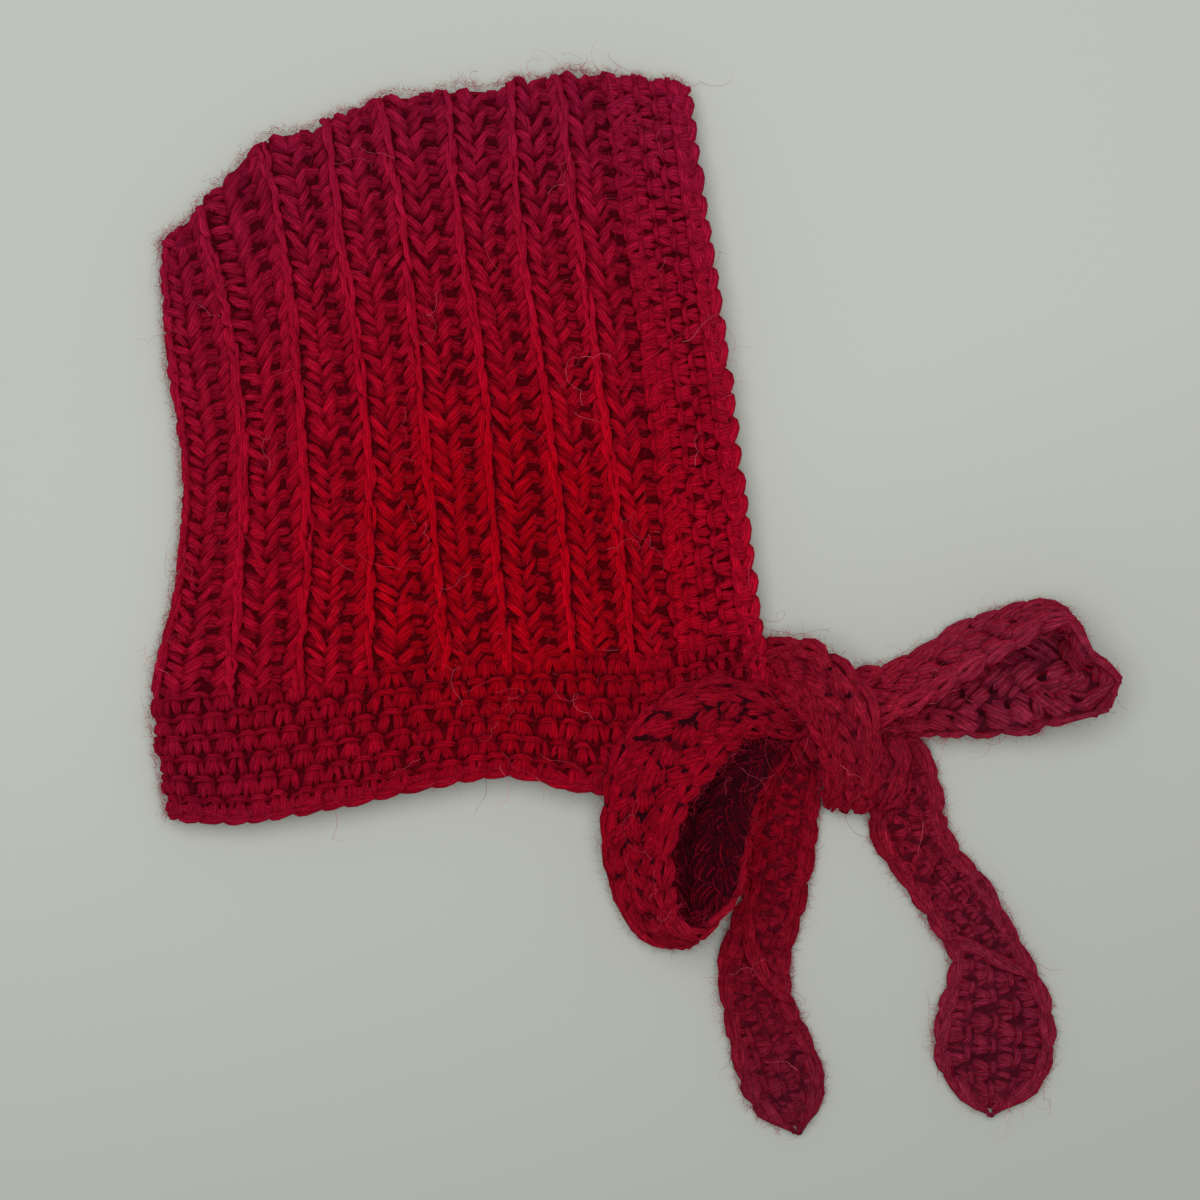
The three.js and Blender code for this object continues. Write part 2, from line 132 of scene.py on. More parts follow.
@dataclass
class Geometry:
    """A mesh as whole arrays, before Blender has it.

    Attributes:
        points: Corners in millimetres.
        faces: Arrays of corner numbers, one array for each number of corners a face can have.
        uv: For each of those arrays, the yarn coordinates of its corners.
        lift: For each point, 0 deep between the stitches and 1 on top of them; the lower it is, the more
            painted shade the yarn gets.
        tone: For each point, how light the yarn is there, about 0: a random tone, and on the stitches also
            the painted light or shade given to each part and run.
    """

    points: Array
    faces: list[Array]
    uv: list[Array]
    lift: Array
    tone: Array

    @staticmethod
    def joined(parts: list["Geometry"]) -> "Geometry":
        """All parts as one mesh, with the corner numbers counted on."""
        starts = np.cumsum([0] + [len(part.points) for part in parts[:-1]])
        return Geometry(
            np.concatenate([part.points for part in parts]),
            [faces + start for part, start in zip(parts, starts) for faces in part.faces],
            [uv for part in parts for uv in part.uv],
            np.concatenate([part.lift for part in parts]),
            np.concatenate([part.tone for part in parts]),
        )

    def to_object(self, name: str) -> bpy.types.Object:
        """Makes the Blender object, smooth shaded, kept above the surface that it lies on."""
        points = self.points.copy()
        points[:, 2] = np.maximum(points[:, 2], FLOOR_CLEARANCE)
        sizes = np.concatenate([np.full(len(faces), faces.shape[1]) for faces in self.faces])
        corners = np.concatenate([faces.ravel() for faces in self.faces])
        mesh = bpy.data.meshes.new(name)
        mesh.vertices.add(len(points))
        mesh.vertices.foreach_set("co", (points * MM).astype(np.float32).ravel())
        mesh.loops.add(len(corners))
        mesh.loops.foreach_set("vertex_index", corners.astype(np.int32))
        mesh.polygons.add(len(sizes))
        starts = np.concatenate([[0], np.cumsum(sizes)[:-1]])
        mesh.polygons.foreach_set("loop_start", starts.astype(np.int32))
        mesh.polygons.foreach_set("use_smooth", np.ones(len(sizes), dtype=bool))
        mesh.update(calc_edges=True)
        layer = mesh.uv_layers.new(name=YARN_UV)
        places = np.concatenate([uv.reshape(-1, 2) for uv in self.uv])
        layer.data.foreach_set("uv", places.astype(np.float32).ravel())
        for label, values in (("lift", self.lift), ("tone", self.tone)):
            attribute = mesh.attributes.new(label, "FLOAT", "POINT")
            attribute.data.foreach_set("value", values.astype(np.float32))
        mesh.validate()
        thing = bpy.data.objects.new(name, mesh)
        bpy.context.scene.collection.objects.link(thing)
        return thing


class Surface:
    """A fabric surface that yarn is laid on."""

    def lay(self, across: Array, along: Array, height: Array) -> tuple[Array, Array]:
        """The points at a height over the fabric, and the outward directions there."""
        raise NotImplementedError

    def thickness_share(self, along: Array) -> Array:
        """How thick the yarn is there: its full thickness, unless a surface says another share."""
        return np.ones_like(along)


def ring_quads(number: Array) -> Array:
    """The quads between neighbouring rings, from the corner numbers of rings by corners."""
    around = np.roll(number, -1, axis=-1)
    return np.stack([number[..., :-1, :], number[..., 1:, :], around[..., 1:, :], around[..., :-1, :]], -1)


def closed_tube(points: Array, place: Array, lift: Array, flip: bool = False) -> Geometry:
    """One tube of rings with a cap at each end.

    Args:
        points: Rings by corners by 3.
        place: The corners' yarn coordinates, rings by corners by 2.
        lift: One height mark for each ring.
        flip: True where the rings turn the other way about.

    Returns:
        The tube, with an even tone.
    """
    rings, sides, _ = points.shape
    number = np.arange(rings * sides).reshape(rings, sides)
    quads = ring_quads(number).reshape(-1, 4)
    caps = np.stack([number[0], number[-1, ::-1]])
    if flip:
        quads, caps = quads[:, ::-1], caps[:, ::-1]
    flat = place.reshape(-1, 2)
    return Geometry(
        points.reshape(-1, 3), [quads, caps], [flat[quads], flat[caps]],
        np.repeat(lift, sides), np.zeros(rings * sides),
    )


def wrap_tubes(
    path: Array, outward: Array, radius: Array, lift: Array, tone: Array, sides: int, start: Array
) -> Geometry:
    """Closes a round tube about each of many paths.

    A ring's corner is path + radius (cos(angle) side + sin(angle) up), with side the path's direction
    crossed with the outward direction, and up square to both.

    Args:
        path: Points, tubes by rings by 3.
        outward: Outward directions at those points.
        radius: Radii, tubes by rings.
        lift: Height marks, tubes by rings.
        tone: One lightness for each tube.
        sides: Corners in a ring.
        start: Where each tube starts along the yarn's own pattern.

    Returns:
        The tubes as one mesh, with round-about coordinates that meet underneath.
    """
    tubes, rings, _ = path.shape
    forward = unit(np.gradient(path, axis=1))
    aside = unit(np.cross(forward, outward))
    up = np.cross(aside, forward)
    angle = -math.pi / 2 + 2 * math.pi * np.arange(sides) / sides
    spread = np.cos(angle)[:, None] * aside[:, :, None] + np.sin(angle)[:, None] * up[:, :, None]
    points = path[:, :, None] + radius[:, :, None, None] * spread
    # Painted shade underneath each tube, painted highlight on its top.
    height = lift[:, :, None] + LIFT_ROUND_TUBE * np.sin(angle)
    number = np.arange(tubes * rings * sides).reshape(tubes, rings, sides)
    steps = np.linalg.norm(np.diff(path, axis=1), axis=2)
    length = np.concatenate([np.zeros((tubes, 1)), np.cumsum(steps, axis=1)], axis=1)
    u = np.broadcast_to((length + start[:, None])[:, :, None], (tubes, rings, sides))
    v = np.broadcast_to(np.arange(sides) / sides, (tubes, rings, sides))
    quad_u = np.stack([u[:, :-1], u[:, 1:], u[:, 1:], u[:, :-1]], -1)
    quad_v = np.stack([v[:, :-1], v[:, 1:], v[:, 1:] + 1 / sides, v[:, :-1] + 1 / sides], -1)
    caps = np.concatenate([number[:, 0], number[:, -1, ::-1]])
    cap_uv = np.stack([np.concatenate([u[:, 0], u[:, -1]]), np.concatenate([v[:, 0], v[:, -1, ::-1]])], -1)
    return Geometry(
        points.reshape(-1, 3),
        [ring_quads(number).reshape(-1, 4), caps],
        [np.stack([quad_u, quad_v], -1).reshape(-1, 4, 2), cap_uv],
        np.clip(height, 0, 1).ravel(),
        np.repeat(tone, rings * sides),
    )


@dataclass(frozen=True)
class YarnRun:
    """One run of yarn in a stitch.

    Attributes:
        points: Share across the stitch's cell, share along it, and height in mm, one row for each point.
        radius: Of the yarn at the middle of the run.
        rings: How many rings the tube has.
        sides: How many corners a ring has.
        light: How much lighter than the rest this run is painted: painted light on runs that stand high,
            painted shade on some low fillers.
    """

    points: tuple[tuple[float, float, float], ...]
    radius: float
    rings: int = 6
    sides: int = 5
    light: float = 0.0


@dataclass
class StitchField:
    """Cells of stitches over a surface.

    Attributes:
        surface: What the yarn is laid on.
        across: Where each cell starts across the rows.
        along: The middle of each cell along the rows.
        cell_across: How wide the cells are, in the surface's units.
        cell_along: How long they are.
        sink: How much deeper than its run says the yarn lies.
        loose: How uneven the hand's tension is, 0 for none.
        coarse: True where the runs may have fewer rings and corners.
        shade: How much deeper in the colour of the hollows the yarn is.
        light: How much lighter it is painted, painted light above 0 and painted shade below.
        fullness: How much thicker it is than its runs say.
        seed: For the unevenness.
    """

    surface: Surface
    across: Array
    along: Array
    cell_across: Array
    cell_along: float
    sink: float = 0.0
    loose: float = 1.0
    coarse: bool = False
    shade: float = 0.0
    light: float = 0.0
    fullness: float = 1.0
    seed: int = 1

    END_ROUNDNESS = 4
    END_CUT = 0.02
    COARSE_RINGS, COARSE_SIDES = 4, 5
    LOWEST, LIFT_SPAN, LIFT_DROP = -2.2, 2.8, 0.1
    # How much each copy of a run varies in size and in place, and how much it wavers from ring to ring.
    SIZE_VARIES_ACROSS, SIZE_VARIES_ALONG = 0.08, 0.12
    SHIFT_ACROSS, SHIFT_ALONG, SHIFT_HEIGHT, SHIFT_RADIUS = 0.016, 0.06, 0.2, 0.07
    WAVER_ACROSS, WAVER_ALONG, WAVER_HEIGHT, WAVER_RADIUS = 0.009, 0.02, 0.1, 0.06
    TONE_VARIES = 0.4
    PATTERN_STARTS = 400
    FIELD_SEEDS, RUN_SEEDS = 1009, 1000

    def lay(self, run: YarnRun) -> Geometry:
        """Lays one run in every cell.

        The radius along a run is its full radius times the square root of 1 - |2s - 1|^4, where s goes
        from one end to the other, so that the ends are round. Each copy is shifted as a whole, and wavers
        from ring to ring.

        Args:
            run: The run to repeat.

        Returns:
            One mesh of all its copies.
        """
        run_seed = int(self.RUN_SEEDS * abs(run.points[0][0] + run.points[0][1]))
        rng = np.random.default_rng(self.seed * self.FIELD_SEEDS + run_seed)
        count = len(self.across)
        rings = self.COARSE_RINGS if self.coarse else run.rings
        sides = self.COARSE_SIDES if self.coarse else run.sides
        share = np.linspace(self.END_CUT, 1 - self.END_CUT, rings)
        share = (1 - np.cos(math.pi * share)) / 2
        table = np.array(run.points)
        route = curve_weights(share * (len(table) - 1), len(table)) @ table
        middle = table[:, :2].mean(axis=0)
        shift = self.loose * rng.normal(size=(6, count, 1))
        waver = self.loose * rng.normal(size=(4, count, rings))
        offset_across = (route[:, 0] - middle[0]) * (1 + self.SIZE_VARIES_ACROSS * shift[0])
        offset_along = (route[:, 1] - middle[1]) * (1 + self.SIZE_VARIES_ALONG * shift[5])
        moved_across = self.SHIFT_ACROSS * shift[1]
        moved_along = self.SHIFT_ALONG * shift[2]
        across = self.across[:, None] + self.cell_across[:, None] * (
            middle[0] + offset_across + moved_across + self.WAVER_ACROSS * waver[0]
        )
        along = self.along[:, None] + self.cell_along * (
            middle[1] + offset_along + moved_along + self.WAVER_ALONG * waver[1]
        )
        height = route[:, 2] - self.sink + self.SHIFT_HEIGHT * shift[3] + self.WAVER_HEIGHT * waver[2]
        points, outward = self.surface.lay(across, along, np.broadcast_to(height, across.shape))
        round_end = np.sqrt(np.maximum(1 - np.abs(2 * share - 1) ** self.END_ROUNDNESS, 0))
        thick = self.fullness * run.radius * self.surface.thickness_share(along)
        radius = thick * round_end * (1 + self.SHIFT_RADIUS * shift[4] + self.WAVER_RADIUS * waver[3])
        # Painted shade: runs that lie deep get a low lift, and so the dark colour of the hollows.
        lift = (route[:, 2] - self.LOWEST) / self.LIFT_SPAN - self.LIFT_DROP - self.shade
        # The tone: the painted light or shade of the field and of the run, and a random tone for each copy.
        tone = self.light + run.light + self.TONE_VARIES * self.loose * rng.normal(size=count)
        start = rng.uniform(0, self.PATTERN_STARTS, count)
        return wrap_tubes(points, outward, radius, np.broadcast_to(lift, across.shape), tone, sides, start)


RIB_RUNS = (
    YarnRun((
        (-0.04, -0.85, -1.4), (-0.025, -0.45, 0.4), (-0.015, 0.0, 0.8),
        (0.0, 0.45, 0.4), (0.015, 0.85, -1.4),
    ), radius=1.2, rings=8, light=0.7),
    YarnRun((
        (0.025, -0.48, -1.4), (0.03, -0.12, 0.2), (0.035, 0.3, 0.5),
        (0.025, 0.7, 0.1), (-0.01, 1.12, -1.4),
    ), radius=1.0, rings=8, light=0.4),
    YarnRun((
        (0.07, -0.62, -1.6), (0.14, -0.46, -0.1), (0.23, -0.20, 0.35),
        (0.32, 0.08, 0.0), (0.39, 0.26, -1.5),
    ), radius=1.4, light=0.2),
    YarnRun((
        (0.12, -0.36, -1.8), (0.18, -0.20, -0.2), (0.26, 0.05, 0.2),
        (0.33, 0.32, -0.1), (0.39, 0.52, -1.6),
    ), radius=1.35),
    YarnRun((
        (0.19, -0.04, -2.0), (0.22, 0.10, -0.5), (0.28, 0.32, 0.0),
        (0.34, 0.56, -0.3), (0.39, 0.76, -1.8),
    ), radius=1.2),
    YarnRun((
        (0.64, -0.60, -1.7), (0.57, -0.40, -0.3), (0.49, -0.14, 0.1),
        (0.43, 0.10, -0.2), (0.38, 0.28, -1.6),
    ), radius=1.4, light=0.2),
    YarnRun((
        (0.63, -0.32, -1.7), (0.57, -0.14, -0.4), (0.50, 0.10, 0.0),
        (0.43, 0.36, -0.3), (0.38, 0.54, -1.7),
    ), radius=1.3),
    YarnRun((
        (0.58, 0.06, -1.9), (0.54, 0.18, -0.6), (0.48, 0.40, -0.2),
        (0.42, 0.64, -0.6), (0.38, 0.80, -1.9),
    ), radius=1.15),
    YarnRun((
        (1.0, -0.60, -1.7), (0.93, -0.42, -0.2), (0.85, -0.18, 0.1),
        (0.78, 0.02, -0.4), (0.72, 0.13, -2.0),
    ), radius=1.4, light=0.2),
    YarnRun((
        (1.0, -0.28, -1.7), (0.93, -0.10, -0.3), (0.86, 0.14, 0.0),
        (0.79, 0.36, -0.5), (0.745, 0.52, -2.0),
    ), radius=1.35),
    YarnRun((
        (0.98, 0.06, -1.9), (0.92, 0.18, -0.6), (0.86, 0.40, -0.2),
        (0.79, 0.60, -0.7), (0.73, 0.70, -2.0),
    ), radius=1.2),
)
RIB_FILLERS = (
    YarnRun(((0.56, -0.40, -1.8), (0.665, -0.34, -0.2), (0.78, -0.30, -1.5)), radius=1.9, rings=4, light=0.2),
    YarnRun(((0.57, -0.13, -1.9), (0.665, -0.07, -0.5), (0.77, -0.03, -1.6)), radius=1.6, rings=4, light=0.2),
    YarnRun(((0.07, 0.02, -2.0), (0.20, 0.38, -0.7), (0.38, 0.85, -1.7)), radius=1.8, rings=4),
    YarnRun(((0.56, 0.22, -2.1), (0.48, 0.48, -0.9), (0.38, 0.85, -1.7)), radius=1.7, rings=4),
    YarnRun(((0.98, 0.20, -2.0), (0.89, 0.50, -0.9), (0.80, 0.85, -1.8)), radius=1.7, rings=4),
)
RIB_COARSE_RUNS = (
    YarnRun((
        (-0.05, -0.80, -1.2), (-0.02, -0.42, 0.4), (0.0, 0.0, 0.8),
        (0.02, 0.42, 0.4), (0.06, 0.80, -1.4),
    ), radius=1.75, light=0.6),
    YarnRun((
        (0.01, -0.74, -2.0), (0.09, -0.47, -0.7), (0.20, -0.12, 0.1),
        (0.30, 0.22, -0.3), (0.39, 0.50, -2.0),
    ), radius=2.45),
    YarnRun((
        (0.66, -0.60, -2.4), (0.585, -0.35, -0.9), (0.50, -0.02, -0.1),
        (0.42, 0.27, -0.5), (0.34, 0.50, -2.0),
    ), radius=2.3),
    YarnRun((
        (1.01, -0.52, -1.8), (0.93, -0.26, -0.5), (0.84, 0.03, -0.2),
        (0.765, 0.28, -1.0), (0.70, 0.46, -2.5),
    ), radius=2.4),
)
ROW_RUNS = (
    YarnRun((
        (0.26, -0.50, -1.7), (0.08, -0.26, -0.4), (0.0, 0.0, 0.1),
        (0.08, 0.26, -0.4), (0.26, 0.50, -1.7),
    ), radius=1.1, light=0.1),
    YarnRun((
        (0.10, -0.14, -1.9), (0.28, -0.20, -0.4), (0.52, -0.28, 0.1),
        (0.76, -0.36, -0.4), (0.95, -0.42, -1.9),
    ), radius=1.15),
    YarnRun((
        (0.08, -0.02, -1.8), (0.28, -0.05, -0.2), (0.52, -0.08, 0.3),
        (0.78, -0.12, -0.3), (1.0, -0.14, -1.9),
    ), radius=1.2, light=0.3),
    YarnRun((
        (0.08, 0.08, -1.8), (0.28, 0.10, -0.2), (0.52, 0.13, 0.25),
        (0.78, 0.15, -0.3), (1.0, 0.16, -1.9),
    ), radius=1.15, light=0.1),
    YarnRun((
        (0.12, 0.18, -1.9), (0.30, 0.24, -0.4), (0.54, 0.32, 0.05),
        (0.78, 0.40, -0.5), (0.95, 0.46, -1.9),
    ), radius=1.1),
    YarnRun(((0.30, 0.50, -2.4), (0.60, 0.52, -1.3), (0.95, 0.50, -2.3)), radius=1.5, rings=4, light=-0.4),
)
STEEP_RUNS = (
    YarnRun((
        (0.10, -0.62, -1.8), (0.22, -0.36, -0.2), (0.40, -0.04, 0.3),
        (0.58, 0.26, -0.2), (0.70, 0.50, -1.8),
    ), radius=1.3, light=0.2),
    YarnRun((
        (0.38, -0.66, -1.8), (0.50, -0.40, -0.3), (0.66, -0.10, 0.15),
        (0.82, 0.18, -0.3), (0.94, 0.40, -1.8),
    ), radius=1.25),
    YarnRun((
        (0.66, -0.70, -1.9), (0.76, -0.46, -0.5), (0.88, -0.22, 0.0),
        (0.98, 0.0, -0.5), (1.06, 0.18, -1.9),
    ), radius=1.15),
    YarnRun((
        (-0.04, -0.36, -1.8), (0.06, -0.14, -0.4), (0.20, 0.12, 0.1),
        (0.34, 0.36, -0.4), (0.46, 0.56, -1.8),
    ), radius=1.2),
    YarnRun(((0.25, 0.25, -2.3), (0.55, 0.50, -1.2), (0.90, 0.70, -2.2)), radius=1.7, rings=4, light=-0.2),
)
ROW_COARSE_RUNS = (
    YarnRun(((0.24, -0.48, -1.7), (0.04, 0.0, 0.0), (0.24, 0.48, -1.7)), radius=1.5),
    YarnRun(((0.08, 0.04, -1.9), (0.5, 0.0, 0.0), (0.98, -0.04, -1.9)), radius=2.3),
)
CHAIN_RUNS = tuple(
    YarnRun(
        tuple((across * side, along, height) for across, along, height in places),
        radius=radius, rings=8, light=0.4,
    )
    for side in (-1, 1)
    for radius, places in (
        (1.4, (
            (0.42, -0.74, -2.0), (0.72, -0.40, -0.2), (0.66, -0.02, 0.3),
            (0.34, 0.36, 0.2), (0.04, 0.68, -1.5),
        )),
        (1.3, (
            (0.24, -0.66, -1.8), (0.42, -0.36, 0.1), (0.34, 0.0, 0.6),
            (0.15, 0.34, 0.4), (0.0, 0.60, -1.3),
        )),
    )
)


@dataclass(frozen=True)
class HoodShape:
    """The hood's fabric as it lies: two layers, folded over at the back and at the top.

    The net gives where the back seam, each rib's cord, the face band and the face edge lie, seen from
    above, at the top fold, at three heights of the ribs, at the neckline and at the hem.

    Attributes:
        wall: How thick the fabric is.
        fold_radius: Outer radius where it turns over at the top and at the back.
        dome: How far the upper layer rises over the hollow.
        rib_depth: Of the valleys between the ribs.
        band_depth: Of the grooves between the rows of the edgings.
        scallop_reach: How far down from the top fold the ribs still notch the outline.
        open_edge_lowering: Share of the dome that is lost at the face edge and at the hem.
        line_pitch: From one line of the net to the next.
        row_pitch: From one row of the net to the next.
        face_band_line: Where the face band starts.
        face_edge_line: Where it ends.
        neckline_row: Where the neck band starts.
        hem_row: Where it ends.
        face_band_periods: How many grooves the face band has.
        neck_band_periods: How many the neck band has.
        last_rib_share: How much of a whole rib the last one has.
        valley_phase: Where in a rib its valley lies.
        net: Places seen from above, lines by rows by x and y.
        dents: Line, row, reach in lines, reach in rows, and depth of each dent in the upper layer.
    """

    wall: float = 5.0
    fold_radius: float = 7.0
    dome: float = 6.0
    rib_depth: float = 1.6
    band_depth: float = 0.7
    scallop_reach: float = 12.0
    open_edge_lowering: float = 0.35
    line_pitch: float = 21.5
    row_pitch: float = 47.0
    face_band_line: float = 8.0
    face_edge_line: float = 9.0
    neckline_row: float = 4.0
    hem_row: float = 5.0
    face_band_periods: float = 2.5
    neck_band_periods: float = 3.0
    last_rib_share: float = 0.77
    valley_phase: float = 0.66
    net: tuple = (
        ((-164, 125), (-162, 85), (-156.7, 45), (-159.3, 5), (-167.5, -35), (-162, -75.5)),
        ((-151.2, 138.4), (-140.5, 95), (-135.5, 53), (-136.5, 11), (-140, -31.5), (-139.5, -76.9)),
        ((-129.7, 161.2), (-119.5, 113), (-115.5, 66), (-113, 18.5), (-116, -28.5), (-118.5, -74)),
        ((-107, 168.2), (-100, 119), (-93, 71), (-90.5, 23), (-91.5, -25), (-94, -69.5)),
        ((-88, 176.4), (-79.5, 126.5), (-74, 77), (-69, 27.5), (-65, -21.5), (-66, -63.5)),
        ((-64.5, 179.7), (-60, 129), (-52, 80), (-48.5, 30), (-43.5, -19.5), (-42.5, -60.5)),
        ((-42.5, 181.8), (-39.5, 131.5), (-31.5, 81.5), (-25, 31.5), (-20.5, -18), (-16, -65.8)),
        ((-26, 184.8), (-19.5, 133), (-12, 82.5), (-5.5, 31.5), (0.5, -19), (5.5, -65)),
        ((-10, 184.8), (-3, 133.5), (4, 83.5), (10, 33.5), (16, -17), (24, -55)),
        ((18.5, 181.2), (25, 133.5), (32, 86), (38, 38.5), (44, -9), (48.5, -35)),
    )
    dents: tuple = ((7.0, 4.35, 0.55, 0.6, 1.8), (6.1, 3.95, 0.9, 0.18, 1.4), (0.9, 2.4, 0.7, 1.2, 1.2))

    FACE_FALL, HEM_FALL, CORNER_FALL = (6.0, 3.0), (3.5, 1.5), (3.0, 2.0)
    BACK_RISE, TOP_RISE = (0.0, 3.0), (0.0, 1.4)

    @staticmethod
    def fall(place: Array, course: Pair) -> Array:
        """An even step that starts at the first number of its course and takes the second to end."""
        start, over = course
        return smooth((place - start) / over)

    @property
    def folded_extra(self) -> float:
        """How much longer the way round a fold is than the way across it."""
        return self.fold_radius * (math.pi / 2 - 1)

    def net_point(self, line: Array, row: Array) -> Array:
        """Where a line and a row of the net lie, seen from above."""
        net = np.array(self.net, dtype=float)
        lines = curve_weights(line, net.shape[0])
        rows = curve_weights(row, net.shape[1])
        return np.einsum("...l,...r,lrk->...k", lines, rows, net)

    def relief(self, line: Array, row: Array) -> Array:
        """How far the ribs and the edgings' rows sink in.

        Half of the depth times 1 - cos(2 pi n), with n counted in ribs or in rows of the edging.
        """
        neck = (row - self.neckline_row) * self.neck_band_periods
        face = (line - self.face_band_line) * self.face_band_periods
        past = line - (self.face_band_line - 1)
        ribs = np.where(past > 0, past * self.last_rib_share, line - 1)
        rib = self.rib_depth * (1 + np.cos(2 * math.pi * (ribs - self.valley_phase))) / 2
        across, down = (self.band_depth * (1 - np.cos(2 * math.pi * turns)) / 2 for turns in (face, neck))
        return np.where(row > self.neckline_row, down, np.where(line > self.face_band_line, across, rib))

    def rise(self, line: Array, row: Array) -> Array:
        """How far the upper layer stands above its height at the edges."""
        near_face = self.fall(line, self.FACE_FALL)
        near_hem = self.fall(row, self.HEM_FALL)
        corner = near_face * self.fall(row, self.CORNER_FALL)
        dent = sum(
            depth * np.exp(-(((line - at_line) / lines) ** 2) - ((row - at_row) / rows) ** 2)
            for at_line, at_row, lines, rows, depth in self.dents
        )
        lower = self.open_edge_lowering
        full = self.dome * (1 - lower * near_face) * (1 - lower * near_hem)
        inward = self.fall(line, self.BACK_RISE) * self.fall(row, self.TOP_RISE)
        return (full * (1 - corner) - dent) * inward

    @staticmethod
    def turn_over(distance: Array, radius: float) -> Array:
        """A quarter circle from 0 at the folded edge to 1 a radius further in."""
        t = np.clip(distance / radius, 0, 1)
        return np.sqrt(np.maximum(1 - (1 - t) ** 2, 0))

    def skin(self, line: Array, row: Array, side: Side, depth: float = 0.0) -> Array:
        """A layer's surface, depth in from its outside.

        Args:
            line: Place across the ribs, in lines of the net.
            row: Place along them, in rows of the net.
            side: The upper or the lower layer.
            depth: How far inside the outer surface, the wall's thickness for its inside.

        Returns:
            The points.
        """
        share = depth / self.wall
        groove = self.relief(line, row) * (1 - share)
        at_top = 1 - smooth(row * self.row_pitch / self.scallop_reach)
        back_share = depth / self.line_pitch
        top_share = (depth + groove * at_top) / self.row_pitch
        flat = self.net_point(
            back_share + line * (1 - back_share / self.face_edge_line),
            top_share + row * (1 - top_share / self.hem_row),
        )
        radius = self.fold_radius - depth
        over_back, over_top = line * self.line_pitch, row * self.row_pitch
        full = self.turn_over(over_back, radius) * self.turn_over(over_top, radius)
        sunk = groove if side is Side.UPPER else np.maximum(groove - self.rib_depth / 2, 0)
        rise = self.rise(line, row) if side is Side.UPPER else 0.0
        height = self.fold_radius + side.value * (radius - sunk) * full + rise * full
        return np.concatenate([flat, height[..., None]], axis=-1)


@dataclass(frozen=True)
class HoodSide(Surface):
    """One layer of the hood as a surface for yarn, measured round its folds from their edges.

    Attributes:
        shape: The hood's shape.
        side: Which layer it is.
    """

    shape: HoodShape
    side: Side

    STEP = 0.4

    def from_fold(self, arc: Array) -> Array:
        """How far in from the folded edge a way of that length round the fold ends, seen from above."""
        radius = self.shape.fold_radius
        turned = np.clip(arc / radius, 0, math.pi / 2)
        return radius * (1 - np.cos(turned)) + np.maximum(arc - radius * math.pi / 2, 0)

    def at(self, across: Array, along: Array) -> Array:
        """The outside of the layer, and beyond a fold the outside of the other layer."""
        line = self.from_fold(np.abs(across)) / self.shape.line_pitch
        row = self.from_fold(np.abs(along)) / self.shape.row_pitch
        over = (across < 0) != (along < 0)
        own, other = (self.shape.skin(line, row, side) for side in (self.side, Side(-self.side.value)))
        return np.where(over[..., None], other, own)

    def lay(self, across: Array, along: Array, height: Array) -> tuple[Array, Array]:
        """The points at a height over the layer, and the outward directions there."""
        here = self.at(across, along)
        eastward = self.at(across + self.STEP, along) - self.at(across - self.STEP, along)
        southward = self.at(across, along + self.STEP) - self.at(across, along - self.STEP)
        outward = unit(np.cross(southward, eastward)) * self.side.value
        return here + outward * height[..., None], outward

    def across_line(self, line: float) -> float:
        """The way round the back fold to a line of the net."""
        return line * self.shape.line_pitch + self.shape.folded_extra

    def along_row(self, row: float) -> float:
        """The way round the top fold to a row of the net."""
        return row * self.shape.row_pitch + self.shape.folded_extra


@dataclass(frozen=True)
class Turned(Surface):
    """A surface whose rows run the other way.

    Attributes:
        surface: The one that is turned.
    """

    surface: Surface

    def lay(self, across: Array, along: Array, height: Array) -> tuple[Array, Array]:
        """The points of the surface with across and along exchanged."""
        return self.surface.lay(along, across, height)


@dataclass(frozen=True)
class Slanted(Surface):
    """A surface that is read along a slanting line.

    Attributes:
        surface: The one that is read.
        slope: How much across grows for each mm along.
        start: Where along the line starts.
    """

    surface: Surface
    slope: float
    start: float

    def lay(self, across: Array, along: Array, height: Array) -> tuple[Array, Array]:
        """The points of the surface, with across counted from the slanting line."""
        return self.surface.lay(across + self.slope * (along - self.start), along, height)

    def thickness_share(self, along: Array) -> Array:
        """As on the surface itself."""
        return self.surface.thickness_share(along)


